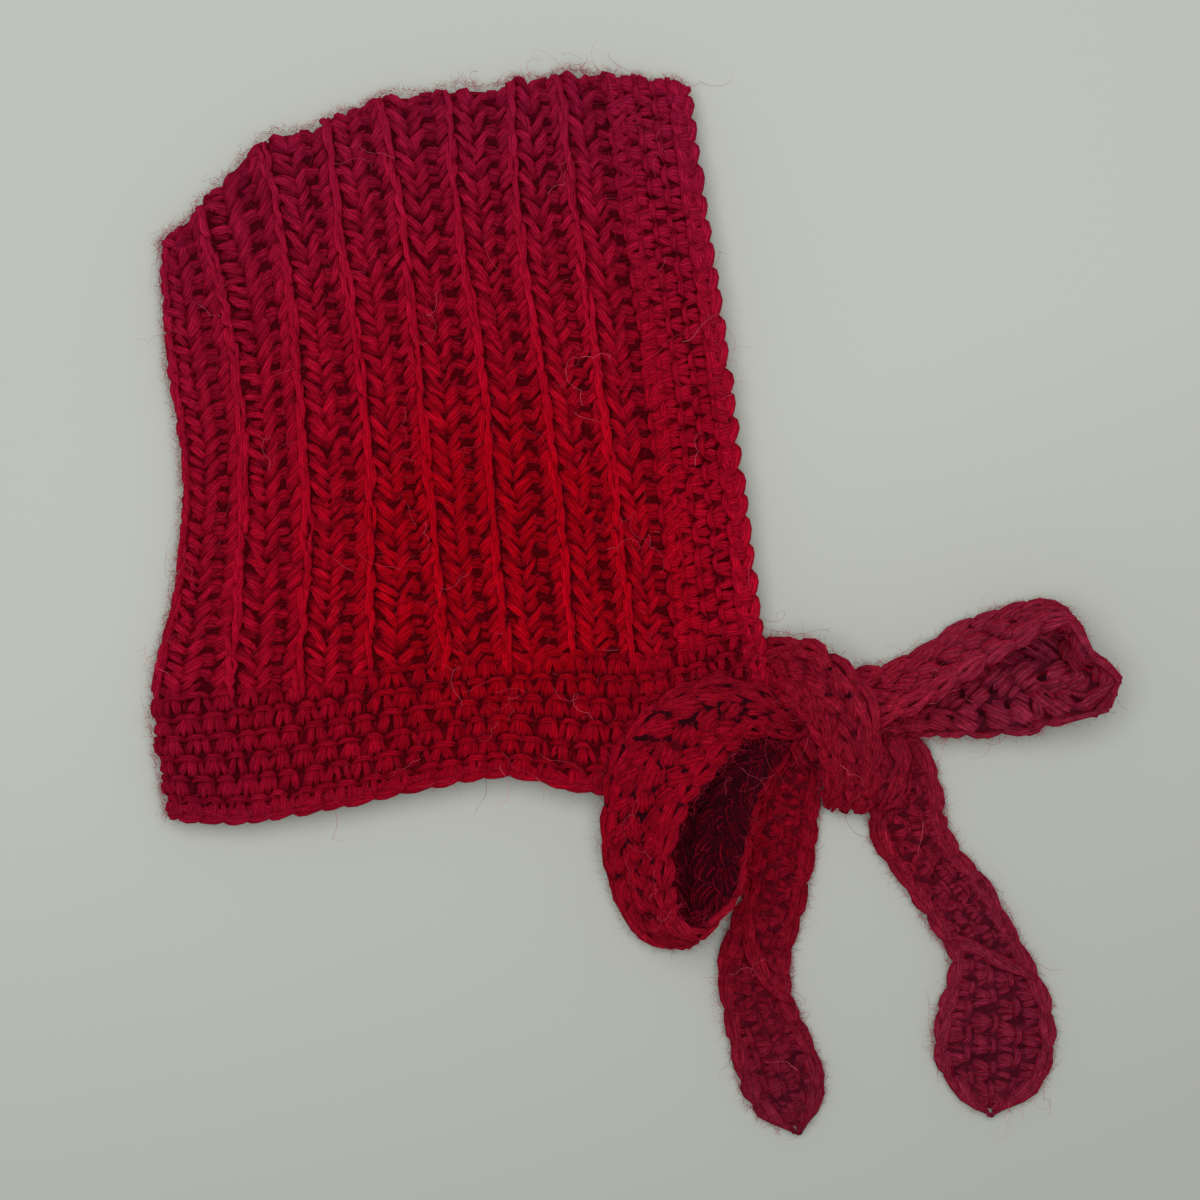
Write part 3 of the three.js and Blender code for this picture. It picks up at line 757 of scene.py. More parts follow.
@dataclass(frozen=True)
class StrapShape:
    """A flat crocheted strap along a route.

    Attributes:
        places: Rows of x, y, z, width and roll, which turns the strap about its route, in degrees.
        outward: 1 where its outer edge is on the right of its way, -1 where it is on the left.
        full_width: The width at which its yarn has its full thickness.
        thickness: Of the strap.
    """

    places: tuple[tuple[float, float, float, float, float], ...]
    outward: int = 1
    full_width: float = 24.0
    thickness: float = 5.0

    SAMPLES = 600
    OVERRUN = 0.4
    HALF_STEP = 0.02

    def travel(self) -> tuple[Array, Array]:
        """Places along the route, in steps of its table, and the way to each in mm."""
        count = len(self.places)
        steps = np.linspace(-self.OVERRUN, count - 1 + self.OVERRUN, self.SAMPLES)
        route = curve_weights(steps, count) @ np.array(self.places, dtype=float)[:, :3]
        way = np.concatenate([[0.0], np.cumsum(np.linalg.norm(np.diff(route, axis=0), axis=1))])
        return steps, way - np.interp(0.0, steps, way)

    @property
    def length(self) -> float:
        """Of the route."""
        steps, way = self.travel()
        return float(np.interp(len(self.places) - 1, steps, way))

    def station(self, along: Array) -> tuple[Array, Array, Array, Array]:
        """The middle, the directions across and out of the face, and the half width, at a way along.

        Level is the direction crossed with up, lift is level crossed with the direction, and the roll r
        turns them: across = cos(r) level - sin(r) lift, face = cos(r) lift + sin(r) level.
        """
        table = np.array(self.places, dtype=float)
        steps, way = self.travel()
        step = np.interp(along, way, steps)
        values = curve_weights(step, len(table)) @ table
        ahead = curve_weights(step + self.HALF_STEP, len(table)) @ table[:, :3]
        behind = curve_weights(step - self.HALF_STEP, len(table)) @ table[:, :3]
        forward = unit(ahead - behind)
        level = unit(np.cross(forward, UP)) * self.outward
        lift = np.cross(level, forward) * self.outward
        roll = np.radians(values[..., 4:5])
        across = np.cos(roll) * level - np.sin(roll) * lift
        face = np.cos(roll) * lift + np.sin(roll) * level
        return values[..., :3], across, face, values[..., 3] / 2


@dataclass(frozen=True)
class StrapSide(Surface):
    """One face of a strap as a surface for yarn: across goes from -1 at one edge to 1 at the other.

    Attributes:
        shape: The strap's shape.
        side: Which face it is.
    """

    shape: StrapShape
    side: Side

    AT_NO_WIDTH = 0.25
    THINNEST_AND_FULLEST = (0.5, 1.08)

    def lay(self, across: Array, along: Array, height: Array) -> tuple[Array, Array]:
        """The points at a height over the face, and the outward directions there.

        The strap's section is |u|^4 + v^2 = 1, with u across it and v through it.
        """
        middle, wide, face, half = self.shape.station(along)
        u = np.clip(across, -1, 1)
        v = self.side.value * np.sqrt(np.maximum(1 - u**4, 0))
        half_thick = self.shape.thickness / 2
        outward = unit(
            (4 * u**3 / np.maximum(half, 1))[..., None] * wide + (2 * v / half_thick)[..., None] * face
        )
        points = middle + (across * half)[..., None] * wide + (v * half_thick)[..., None] * face
        return points + outward * height[..., None], outward

    def thickness_share(self, along: Array) -> Array:
        """Thinner where the strap is drawn together."""
        half = self.shape.station(along)[3]
        share = self.AT_NO_WIDTH + (1 - self.AT_NO_WIDTH) * 2 * half / self.shape.full_width
        return np.clip(share, *self.THINNEST_AND_FULLEST)


@dataclass(frozen=True)
class BallSide(Surface):
    """The knot's round heart as a surface: across is the way round in turns, along from pole to pole.

    Attributes:
        middle: Of the heart, in mm.
        radii: Its half sizes along X, Y and Z.
    """

    middle: tuple[float, float, float] = (71.0, -45.0, 13.0)
    radii: tuple[float, float, float] = (16.5, 20.0, 12.0)

    def lay(self, across: Array, along: Array, height: Array) -> tuple[Array, Array]:
        """The points at a height over the heart, and the outward directions there."""
        turn, tilt = 2 * math.pi * across, math.pi * along
        ball = np.stack([np.cos(turn) * np.sin(tilt), np.sin(turn) * np.sin(tilt), np.cos(tilt)], -1)
        radii = np.array(self.radii)
        outward = unit(ball / radii)
        return np.array(self.middle) + ball * radii + outward * height[..., None], outward


@dataclass
class NodeSheet:
    """A node tree, with short ways to add to it.

    Attributes:
        tree: Of a material, a world or a group.
    """

    tree: bpy.types.NodeTree

    def feed(self, node: bpy.types.Node, inputs: dict) -> None:
        """Gives each named input a number, a vector or a colour, or links it to an output."""
        for name, value in inputs.items():
            socket = node.inputs[name]
            if isinstance(value, Socket):
                self.tree.links.new(value, socket)
            else:
                socket.default_value = (*value, 1.0) if socket.type == "RGBA" else value

    def add(self, kind: str, inputs: dict | None = None, **settings: object) -> bpy.types.Node:
        """A new shader node of a kind, with its settings and then its inputs."""
        node = self.tree.nodes.new(f"ShaderNode{kind}")
        for name, value in settings.items():
            setattr(node, name, value)
        self.feed(node, inputs or {})
        return node

    def attribute(self, name: str) -> Socket:
        """A point attribute of the mesh."""
        return self.add("Attribute", attribute_name=name).outputs["Fac"]

    def where(self) -> Socket:
        """The place on the object."""
        return self.add("TexCoord").outputs["Object"]

    def sum_of(self, operation: str, *values: Socket | float) -> Socket:
        """One step of arithmetic."""
        return self.add("Math", dict(enumerate(values)), operation=operation).outputs[0]

    def spread(self, source: Socket, found: Pair, wanted: Pair) -> Socket:
        """Maps a range of values evenly onto another, held at its ends."""
        ends = {"From Min": found[0], "From Max": found[1], "To Min": wanted[0], "To Max": wanted[1]}
        return self.add("MapRange", {"Value": source, **ends}).outputs[0]

    def blend(self, share: Socket, first: Socket | Colour, second: Socket | Colour) -> Socket:
        """Two colours mixed, more of the second where the share is higher."""
        inputs = {"Factor": share, "A": first, "B": second}
        return self.add("Mix", inputs, data_type="RGBA").outputs["Result"]


@dataclass(frozen=True)
class Finish:
    """A procedural material.

    Attributes:
        name: Of the material.
    """

    name: str

    def paint(self, sheet: NodeSheet, shader: bpy.types.Node) -> None:
        """Sets up the shader and what feeds it."""
        raise NotImplementedError

    def material(self) -> bpy.types.Material:
        """Builds the material, or gives back the one that is already there."""
        if self.name in bpy.data.materials:
            return bpy.data.materials[self.name]
        material = bpy.data.materials.new(self.name)
        material.use_nodes = True
        self.paint(NodeSheet(material.node_tree), material.node_tree.nodes["Principled BSDF"])
        return material


FIBRE_TEXTURE = {"Scale": 1.0, "Detail": 3.0, "Roughness": 0.65}
FIBRES_PER_PLY = 4.0
FIBRE_STRETCH = 0.22


def ply_pattern() -> bpy.types.NodeTree:
    """The group that gives spun yarn its plies and fibres.

    The plies are round ridges, the size of sin(pi (plies v + twist u)), with u along the yarn in mm and
    v round it, and the fibres a noise drawn out along the same slant.
    """
    name = "ply pattern"
    if name in bpy.data.node_groups:
        return bpy.data.node_groups[name]
    tree = bpy.data.node_groups.new(name, "ShaderNodeTree")
    for label, kind in (("Plies", "Float"), ("Twist", "Float"), ("Yarn place", "Vector")):
        tree.interface.new_socket(label, in_out="INPUT", socket_type=f"NodeSocket{kind}")
    for label in ("Ply", "Fibre"):
        tree.interface.new_socket(label, in_out="OUTPUT", socket_type="NodeSocketFloat")
    sheet = NodeSheet(tree)
    inputs = tree.nodes.new("NodeGroupInput").outputs
    split = sheet.add("SeparateXYZ", {0: inputs["Yarn place"]}).outputs
    slant = sheet.sum_of("MULTIPLY", split["X"], inputs["Twist"])
    turns = sheet.sum_of("ADD", sheet.sum_of("MULTIPLY", split["Y"], inputs["Plies"]), slant)
    wave = sheet.sum_of("SINE", sheet.sum_of("MULTIPLY", turns, math.pi))
    place = sheet.add("CombineXYZ", {
        "X": sheet.sum_of("MULTIPLY", split["X"], FIBRE_STRETCH),
        "Y": sheet.sum_of("MULTIPLY", turns, FIBRES_PER_PLY),
    })
    noise = sheet.add("TexNoise", {**FIBRE_TEXTURE, "Vector": place.outputs[0]})
    sheet.feed(tree.nodes.new("NodeGroupOutput"), {
        "Ply": sheet.sum_of("ABSOLUTE", wave), "Fibre": noise.outputs["Fac"],
    })
    return tree


@dataclass(frozen=True)
class YarnFinish(Finish):
    """Spun wool with long soft fibres.

    Attributes:
        bright: Linear colour on top of the stitches at the middle of the hood, in its painted pool of light.
        quiet: The same away from the middle, where the painted light has fallen off, and a little pinker.
        hollow: Deep between the stitches, near black, as painted shade in the hollows.
        painted_light_middle: Where the painted light on the colour is brightest, in mm.
        painted_light_reach: How far from there the painted light starts to fall off, and where it is quiet,
            in mm.
        ply_dark: How light the yarn is between its plies, against their tops, as painted shade in the
            grooves.
        felt: How much lighter and darker the matted fibres are from spot to spot.
    """

    bright: Colour
    quiet: Colour
    hollow: Colour
    painted_light_middle: Pair = (-45.0, 10.0)
    painted_light_reach: Pair = (45.0, 165.0)
    ply_dark: float = 0.6
    felt: float = 0.15

    PLIES = 6.0
    TWIST = 0.1
    BUMP, BUMP_DEPTH = 0.6, 0.6
    SURFACE = {
        "Roughness": 0.95, "Specular IOR Level": 0.02,
        "Sheen Weight": 0.35, "Sheen Roughness": 0.45, "Sheen Tint": (1.0, 0.004, 0.05),
    }
    # Streaks along the fibres, lighter and darker: partly the fibres' own tone, partly painted highlight on
    # them.
    FIBRE_NOISE, FIBRE_LIGHT = (0.34, 0.66), (0.62, 1.38)
    # Painted shade in the grooves between the plies, and a painted highlight on their tops.
    PLY_WAVE, PLY_LIGHT = (0.0, 0.8), 1.12
    TONES, TONE_LIGHT = (-5.0, 5.0), (0.25, 1.75)
    FELT = {"Scale": 420.0, "Detail": 4.0, "Distortion": 1.2}
    FELT_NOISE = (0.3, 0.7)
    # Painted shade: where the lift is low, the yarn's colour goes over to the hollow colour.
    DEEP_TO_TOP = (0.0, 0.95)

    def paint(self, sheet: NodeSheet, shader: bpy.types.Node) -> None:
        """A painted pool of light over the whole, times the lightness of fibres, plies, strands and felt, and
        painted shade where the yarn lies deep.
        """
        # Painted light: the colour is brightest about one point and falls off to the quiet colour around it.
        where = sheet.where()
        middle = tuple(-part * MM for part in self.painted_light_middle)
        centre = sheet.add("Mapping", {"Location": (*middle, 0.0), "Vector": where})
        reach = sheet.add("VectorMath", {0: centre.outputs[0]}, operation="LENGTH").outputs["Value"]
        low, high = self.painted_light_reach
        painted_light = sheet.spread(reach, (low * MM, high * MM), (1.0, 0.0))
        place = sheet.add("UVMap", uv_map=YARN_UV).outputs[0]
        counts = {"Plies": self.PLIES, "Twist": self.TWIST, "Yarn place": place}
        pattern = sheet.add("Group", counts, node_tree=ply_pattern())
        ply, fibre = pattern.outputs["Ply"], pattern.outputs["Fibre"]
        felt = sheet.add("TexNoise", {**self.FELT, "Vector": where}).outputs["Fac"]
        colour = sheet.blend(painted_light, self.quiet, self.bright)
        # Fibre streaks, the plies' painted shade and highlight, each strand's tone with its painted light or
        # shade, and the felt.
        for light in (
            sheet.spread(fibre, self.FIBRE_NOISE, self.FIBRE_LIGHT),
            sheet.spread(ply, self.PLY_WAVE, (self.ply_dark, self.PLY_LIGHT)),
            sheet.spread(sheet.attribute("tone"), self.TONES, self.TONE_LIGHT),
            sheet.spread(felt, self.FELT_NOISE, (1 - self.felt, 1 + self.felt)),
        ):
            colour = sheet.add("VectorMath", {0: colour, "Scale": light}, operation="SCALE").outputs[0]
        # Painted shade between the stitches: yarn that lies deep takes the near-black hollow colour.
        top = sheet.spread(sheet.attribute("lift"), self.DEEP_TO_TOP, (0.0, 1.0))
        relief = sheet.sum_of("ADD", ply, fibre)
        depth = self.BUMP_DEPTH * MM
        bump = sheet.add("Bump", {"Strength": self.BUMP, "Distance": depth, "Height": relief})
        sheet.feed(shader, {
            **self.SURFACE, "Base Color": sheet.blend(top, self.hollow, colour), "Normal": bump.outputs[0],
        })


@dataclass(frozen=True)
class HairFinish(Finish):
    """Single loose fibres of the wool.

    Attributes:
        colour: Linear colour of most of them.
        pale: Of the palest ones.
    """

    colour: Colour = (0.30, 0.002, 0.02)
    pale: Colour = (0.55, 0.10, 0.15)

    SURFACE = {"Roughness": 0.9, "Specular IOR Level": 0.02}

    def paint(self, sheet: NodeSheet, shader: bpy.types.Node) -> None:
        """Each fibre's tone blends its two colours."""
        colour = sheet.blend(sheet.attribute("tone"), self.colour, self.pale)
        sheet.feed(shader, {**self.SURFACE, "Base Color": colour})


@dataclass(frozen=True)
class FloorFinish(Finish):
    """A plain pale floor with painted shade: a little darker towards the lower right, as the light falls off.

    Attributes:
        colour: Its linear colour.
        shaded: How light it is at the lower right, against the rest.
    """

    colour: Colour = (0.378, 0.394, 0.361)
    shaded: float = 0.8

    SURFACE = {"Roughness": 0.95, "Specular IOR Level": 0.1}
    TOWARDS_LIGHT = (-0.35, 1.0, 0.0)
    SHADED_TO_LIGHT = (-0.25, 0.05)

    def paint(self, sheet: NodeSheet, shader: bpy.types.Node) -> None:
        """Painted shade: an even change along one direction, in metres."""
        toward = sheet.add("VectorMath", {0: sheet.where(), 1: self.TOWARDS_LIGHT}, operation="DOT_PRODUCT")
        share = sheet.spread(toward.outputs["Value"], self.SHADED_TO_LIGHT, (0.0, 1.0))
        shaded = tuple(self.shaded * part for part in self.colour)
        sheet.feed(shader, {**self.SURFACE, "Base Color": sheet.blend(share, shaded, self.colour)})


HOOD_YARN = YarnFinish(
    "hood yarn", bright=(0.322, 0.0002, 0.005), quiet=(0.214, 0.005, 0.028), hollow=(0.010, 0.0003, 0.001)
)
TIE_YARN = YarnFinish(
    "tie yarn", bright=(0.195, 0.0004, 0.006), quiet=(0.128, 0.009, 0.023), hollow=(0.014, 0.0010, 0.003),
    painted_light_middle=(15.0, -68.0), painted_light_reach=(25.0, 120.0), ply_dark=0.66, felt=0.4,
)
HAIR = HairFinish("loose fibres")
HOOD_NODES = ("ribbed_panel", "face_band", "neck_band")
PALE_FLOOR = FloorFinish("pale floor")


def add_piece(
    geometry: Geometry, name: str, finish: Finish, slot: Slot, replaced: tuple[str, ...]
) -> bpy.types.Object:
    """Makes a piece of the object, gives it its finish and hides the nodes that it stands for."""
    piece = geometry.to_object(name)
    piece.data.materials.append(finish.material())
    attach(piece, "root")
    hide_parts(*replaced)
    triangles = sum(len(faces) * (faces.shape[1] - 2) for faces in geometry.faces)
    log.info("%s: %d triangles", name, triangles)
    return piece


def grid_faces(rows: int, columns: int, first: int, flip: bool) -> Array:
    """The quads of a grid whose points are counted along the columns first."""
    number = first + np.arange(rows * columns).reshape(rows, columns)
    quads = np.stack([number[:-1, :-1], number[1:, :-1], number[1:, 1:], number[:-1, 1:]], -1).reshape(-1, 4)
    return quads[:, ::-1] if flip else quads


@dataclass
class HoodWall:
    """The fabric behind the stitches, painted dark as the shade between them: a hollow wall with its folds,
    its face opening and its neck.

    Attributes:
        shape: The hood's shape.
        sink: How far below the top of the stitches the wall starts.
        lines: How many places the grid has across the ribs.
        rows: How many along them.
    """

    shape: HoodShape
    sink: float = 1.8
    lines: int = 91
    rows: int = 41

    # Painted shade: the wall's outside, seen between the stitches, has a low lift and so is near the dark
    # hollow colour; its inside has a middling one.
    INSIDE_LIFT, OUTSIDE_LIFT = 0.55, 0.12
    PATTERN_SIZE = 9

    def build(self) -> Geometry:
        """The wall's outside and inside, above and below, joined at the face edge and the hem.

        The grid's places are even in the way round the folds, so they crowd at the folded edges.
        """
        shape = self.shape
        upper = HoodSide(shape, Side.UPPER)
        ways_across = np.linspace(0, upper.across_line(shape.face_edge_line), self.lines)
        ways_along = np.linspace(0, upper.along_row(shape.hem_row), self.rows)
        line, row = np.meshgrid(
            upper.from_fold(ways_across) / shape.line_pitch,
            upper.from_fold(ways_along) / shape.row_pitch,
            indexing="ij",
        )
        count = self.lines * self.rows
        points, faces, lift = [], [], []
        for part, (side, depth) in enumerate(
            (side, depth) for side in Side for depth in (self.sink, shape.wall)
        ):
            points.append(shape.skin(line, row, side, depth).reshape(-1, 3))
            inside = depth == shape.wall
            faces.append(grid_faces(self.lines, self.rows, part * count, (side is Side.UPPER) == inside))
            lift.append(np.full(count, self.INSIDE_LIFT if inside else self.OUTSIDE_LIFT))
        number = np.arange(4 * count).reshape(4, self.lines, self.rows)
        for side, outer, inner in ((Side.UPPER, number[0], number[1]), (Side.LOWER, number[2], number[3])):
            for edge_out, edge_in, turned in (
                (outer[-1], inner[-1], False),
                (outer[:, -1], inner[:, -1], True),
            ):
                rim = np.stack([edge_out[:-1], edge_in[:-1], edge_in[1:], edge_out[1:]], -1)
                faces.append(rim[:, ::-1] if turned == (side is Side.UPPER) else rim)
        place = np.stack([line * shape.line_pitch, row * shape.row_pitch / self.PATTERN_SIZE], -1)
        places = np.tile(place.reshape(-1, 2), (4, 1))
        return Geometry(
            np.concatenate(points), faces, [places[quads] for quads in faces],
            np.concatenate(lift), np.zeros(4 * count),
        )

    def dress(self) -> None:
        """Adds the wall, with its folded edges closed."""
        piece = add_piece(self.build(), "hood_wall", HOOD_YARN, Slot.HOOD, HOOD_NODES)
        close_seams(piece)


def close_seams(piece: bpy.types.Object) -> None:
    """Joins the points of a piece that lie on each other, and turns its faces outwards."""
    work = bmesh.new()
    work.from_mesh(piece.data)
    bmesh.ops.remove_doubles(work, verts=work.verts, dist=WELD_DISTANCE * MM)
    bmesh.ops.recalc_face_normals(work, faces=work.faces)
    work.to_mesh(piece.data)
    work.free()


@dataclass(frozen=True)
class HoodYarn:
    """The yarn of one part of the hood, on both layers.

    Attributes:
        shape: The hood's shape.
        node: The solid that the yarn stands for.
        stitches: How many a row has.
        light: How much lighter than the rest the rows are painted, painted light above 0 and painted shade
            below.
    """

    shape: HoodShape
    node: str
    stitches: int
    light: float

    LOWER_SINK = 1.3

    def build(self, side: Side) -> Geometry:
        """The yarn of one layer."""
        raise NotImplementedError

    def dress(self) -> None:
        """Adds the yarn of both layers."""
        for side in Side:
            name = f"{self.node}_yarn_{side.name.lower()}"
            add_piece(self.build(side), name, HOOD_YARN, Slot.HOOD, (self.node,))


@dataclass(frozen=True)
class RibbedPanel(HoodYarn):
    """The hood's ribs: a cord of long runs, then the slanting legs of two rows and a deep valley."""

    node: str = "ribbed_panel"
    stitches: int = 27
    light: float = -0.9

    LOOSE, SINK = 1.4, 0.5
    RIB_SHIFT = 0.37
    SEED, FOLD_SEED = 3, 9

    def field(self, side: Side) -> StitchField:
        """The cells of the panel, one for each rib and stitch, from the back fold to the face band."""
        surface = HoodSide(self.shape, side)
        pitch = surface.along_row(self.shape.neckline_row) / self.stitches
        starts = [surface.across_line(line) for line in range(int(self.shape.face_band_line))]
        widths = np.full(len(starts), self.shape.line_pitch)
        widths[-1] = self.shape.line_pitch / self.shape.last_rib_share
        across, along = np.meshgrid(starts, pitch * (FIRST_STITCH + np.arange(self.stitches)), indexing="ij")
        shift = np.arange(len(starts))[:, None] * self.RIB_SHIFT * pitch
        lower = side is Side.LOWER
        return StitchField(
            surface, across.ravel(), (along + shift % pitch).ravel(), np.repeat(widths, self.stitches), pitch,
            sink=self.LOWER_SINK if lower else self.SINK, loose=self.LOOSE, light=self.light,
            seed=self.SEED + side.value, coarse=lower,
        )

    def build(self, side: Side) -> Geometry:
        """All runs of one side, and with the upper one those that pass over the back fold."""
        cells = self.field(side)
        if side is Side.LOWER:
            return Geometry.joined([cells.lay(run) for run in RIB_COARSE_RUNS])
        first = slice(self.stitches)
        over = replace(
            cells, across=cells.across[first] - self.shape.line_pitch, along=cells.along[first],
            cell_across=cells.cell_across[first], seed=self.FOLD_SEED,
        )
        parts = [cells.lay(run) for run in RIB_RUNS + RIB_FILLERS]
        parts += [over.lay(run) for run in (*RIB_RUNS[5:], *RIB_FILLERS[3:])]
        return Geometry.joined(parts)


def staggered(starts: Array, pitch: float, count: int) -> tuple[Array, Array]:
    """The cells of several rows, with the stitches of every other row half a pitch further on."""
    across, along = np.meshgrid(starts, pitch * (FIRST_STITCH + np.arange(count)), indexing="ij")
    along = along + 0.5 * pitch * (np.arange(len(starts)) % 2)[:, None]
    return across.ravel(), along.ravel()


def mirrored(
    starts: Array, width: float, pitch: float, count: int
) -> tuple[Array, Array, Array]:
    """Staggered cells of which every other row is a mirror image.

    Args:
        starts: Where each row starts.
        width: Of a row.
        pitch: Of its stitches.
        count: How many stitches a row has.

    Returns:
        Where each cell starts across and lies along, and its width, below 0 where it is mirrored.
    """
    across, along = staggered(starts, pitch, count)
    odd = np.repeat(np.arange(len(starts)) % 2, count)
    return across + odd * width, along, width * (1 - 2 * odd)


@dataclass(frozen=True)
class Edging(HoodYarn):
    """Rows of stitches along an opening, with a chain of long stitches on its edge.

    Attributes:
        fullness: How much thicker than its runs say the rows' yarn is.
        chain_light: How much lighter than the rest the chain is painted, painted light above 0 and painted
            shade below.
        chain_stretch: How long its stitches are, against those of the rows.
        seed: For the unevenness.
    """

    fullness: float
    chain_light: float
    chain_stretch: float
    seed: int

    LOOSE = 1.2
    ROW_SINK, CHAIN_SINK = 0.3, 1.2
    CHAIN_INSET, CHAIN_WIDTH = 1.6, 3.2
    CHAIN_SEEDS = 6

    def edged(
        self, side: Side, surface: Surface, cells: tuple[Array, ...], width: float, edge: float, reach: float
    ) -> Geometry:
        """Lays the rows, and the chain on the edge.

        Args:
            side: The layer.
            surface: What the yarn is laid on.
            cells: Where the cells of the rows start across, and where they lie along.
            width: Of a row.
            edge: Where the edge is, across.
            reach: How long it is.

        Returns:
            Both as one mesh.
        """
        lower = side is Side.LOWER
        pitch = reach / self.stitches
        rows = StitchField(
            surface, *cells, np.full(cells[0].size, width), pitch, loose=self.LOOSE, light=self.light,
            fullness=self.fullness, seed=self.seed + side.value, coarse=lower,
            sink=self.LOWER_SINK if lower else self.ROW_SINK,
        )
        chain_pitch = pitch * self.chain_stretch
        places = np.arange(0.5, reach / chain_pitch) * chain_pitch
        chain = StitchField(
            surface, np.full(len(places), edge - self.CHAIN_INSET), places,
            np.full(len(places), self.CHAIN_WIDTH), chain_pitch, light=self.chain_light,
            seed=self.seed + self.CHAIN_SEEDS + side.value, sink=self.CHAIN_SINK, coarse=lower,
        )
        runs = ROW_COARSE_RUNS if lower else ROW_RUNS
        return Geometry.joined([rows.lay(run) for run in runs] + [chain.lay(run) for run in CHAIN_RUNS])


@dataclass(frozen=True)
class FaceBand(Edging):
    """The rows along the face opening, from the face edge inwards."""

    node: str = "face_band"
    stitches: int = 31
    light: float = -0.9
    fullness: float = 1.15
    chain_light: float = 0.0
    chain_stretch: float = 1.12
    seed: int = 11

    OVER_NECKLINE = 3

    def build(self, side: Side) -> Geometry:
        """The rows down to the neck band, and the chain."""
        surface = HoodSide(self.shape, side)
        reach = surface.along_row(self.shape.hem_row)
        width = self.shape.line_pitch / self.shape.face_band_periods / 2
        edge = surface.across_line(self.shape.face_edge_line)
        start = surface.across_line(self.shape.face_band_line)
        starts = np.arange(edge - width, start - width, -width)
        across, along = staggered(starts, reach / self.stitches, self.stitches)
        keep = along < surface.along_row(self.shape.neckline_row) + self.OVER_NECKLINE
        return self.edged(side, surface, (across[keep], along[keep]), width, edge, reach)


@dataclass(frozen=True)
class NeckBand(Edging):
    """The rows along the neck, from the neckline to the hem."""

    node: str = "neck_band"
    stitches: int = 27
    light: float = -2.1
    fullness: float = 1.12
    chain_light: float = -2.1
    chain_stretch: float = 1.1
    seed: int = 23

    def build(self, side: Side) -> Geometry:
        """The rows round from the back fold to the face edge, and the chain."""
        surface = HoodSide(self.shape, side)
        reach = surface.across_line(self.shape.face_edge_line)
        width = self.shape.row_pitch / self.shape.neck_band_periods / 2
        start = surface.along_row(self.shape.neckline_row)
        starts = start + width * np.arange(int(2 * self.shape.neck_band_periods))
        cells = staggered(starts, reach / self.stitches, self.stitches)
        return self.edged(side, Turned(surface), cells, width, surface.along_row(self.shape.hem_row), reach)


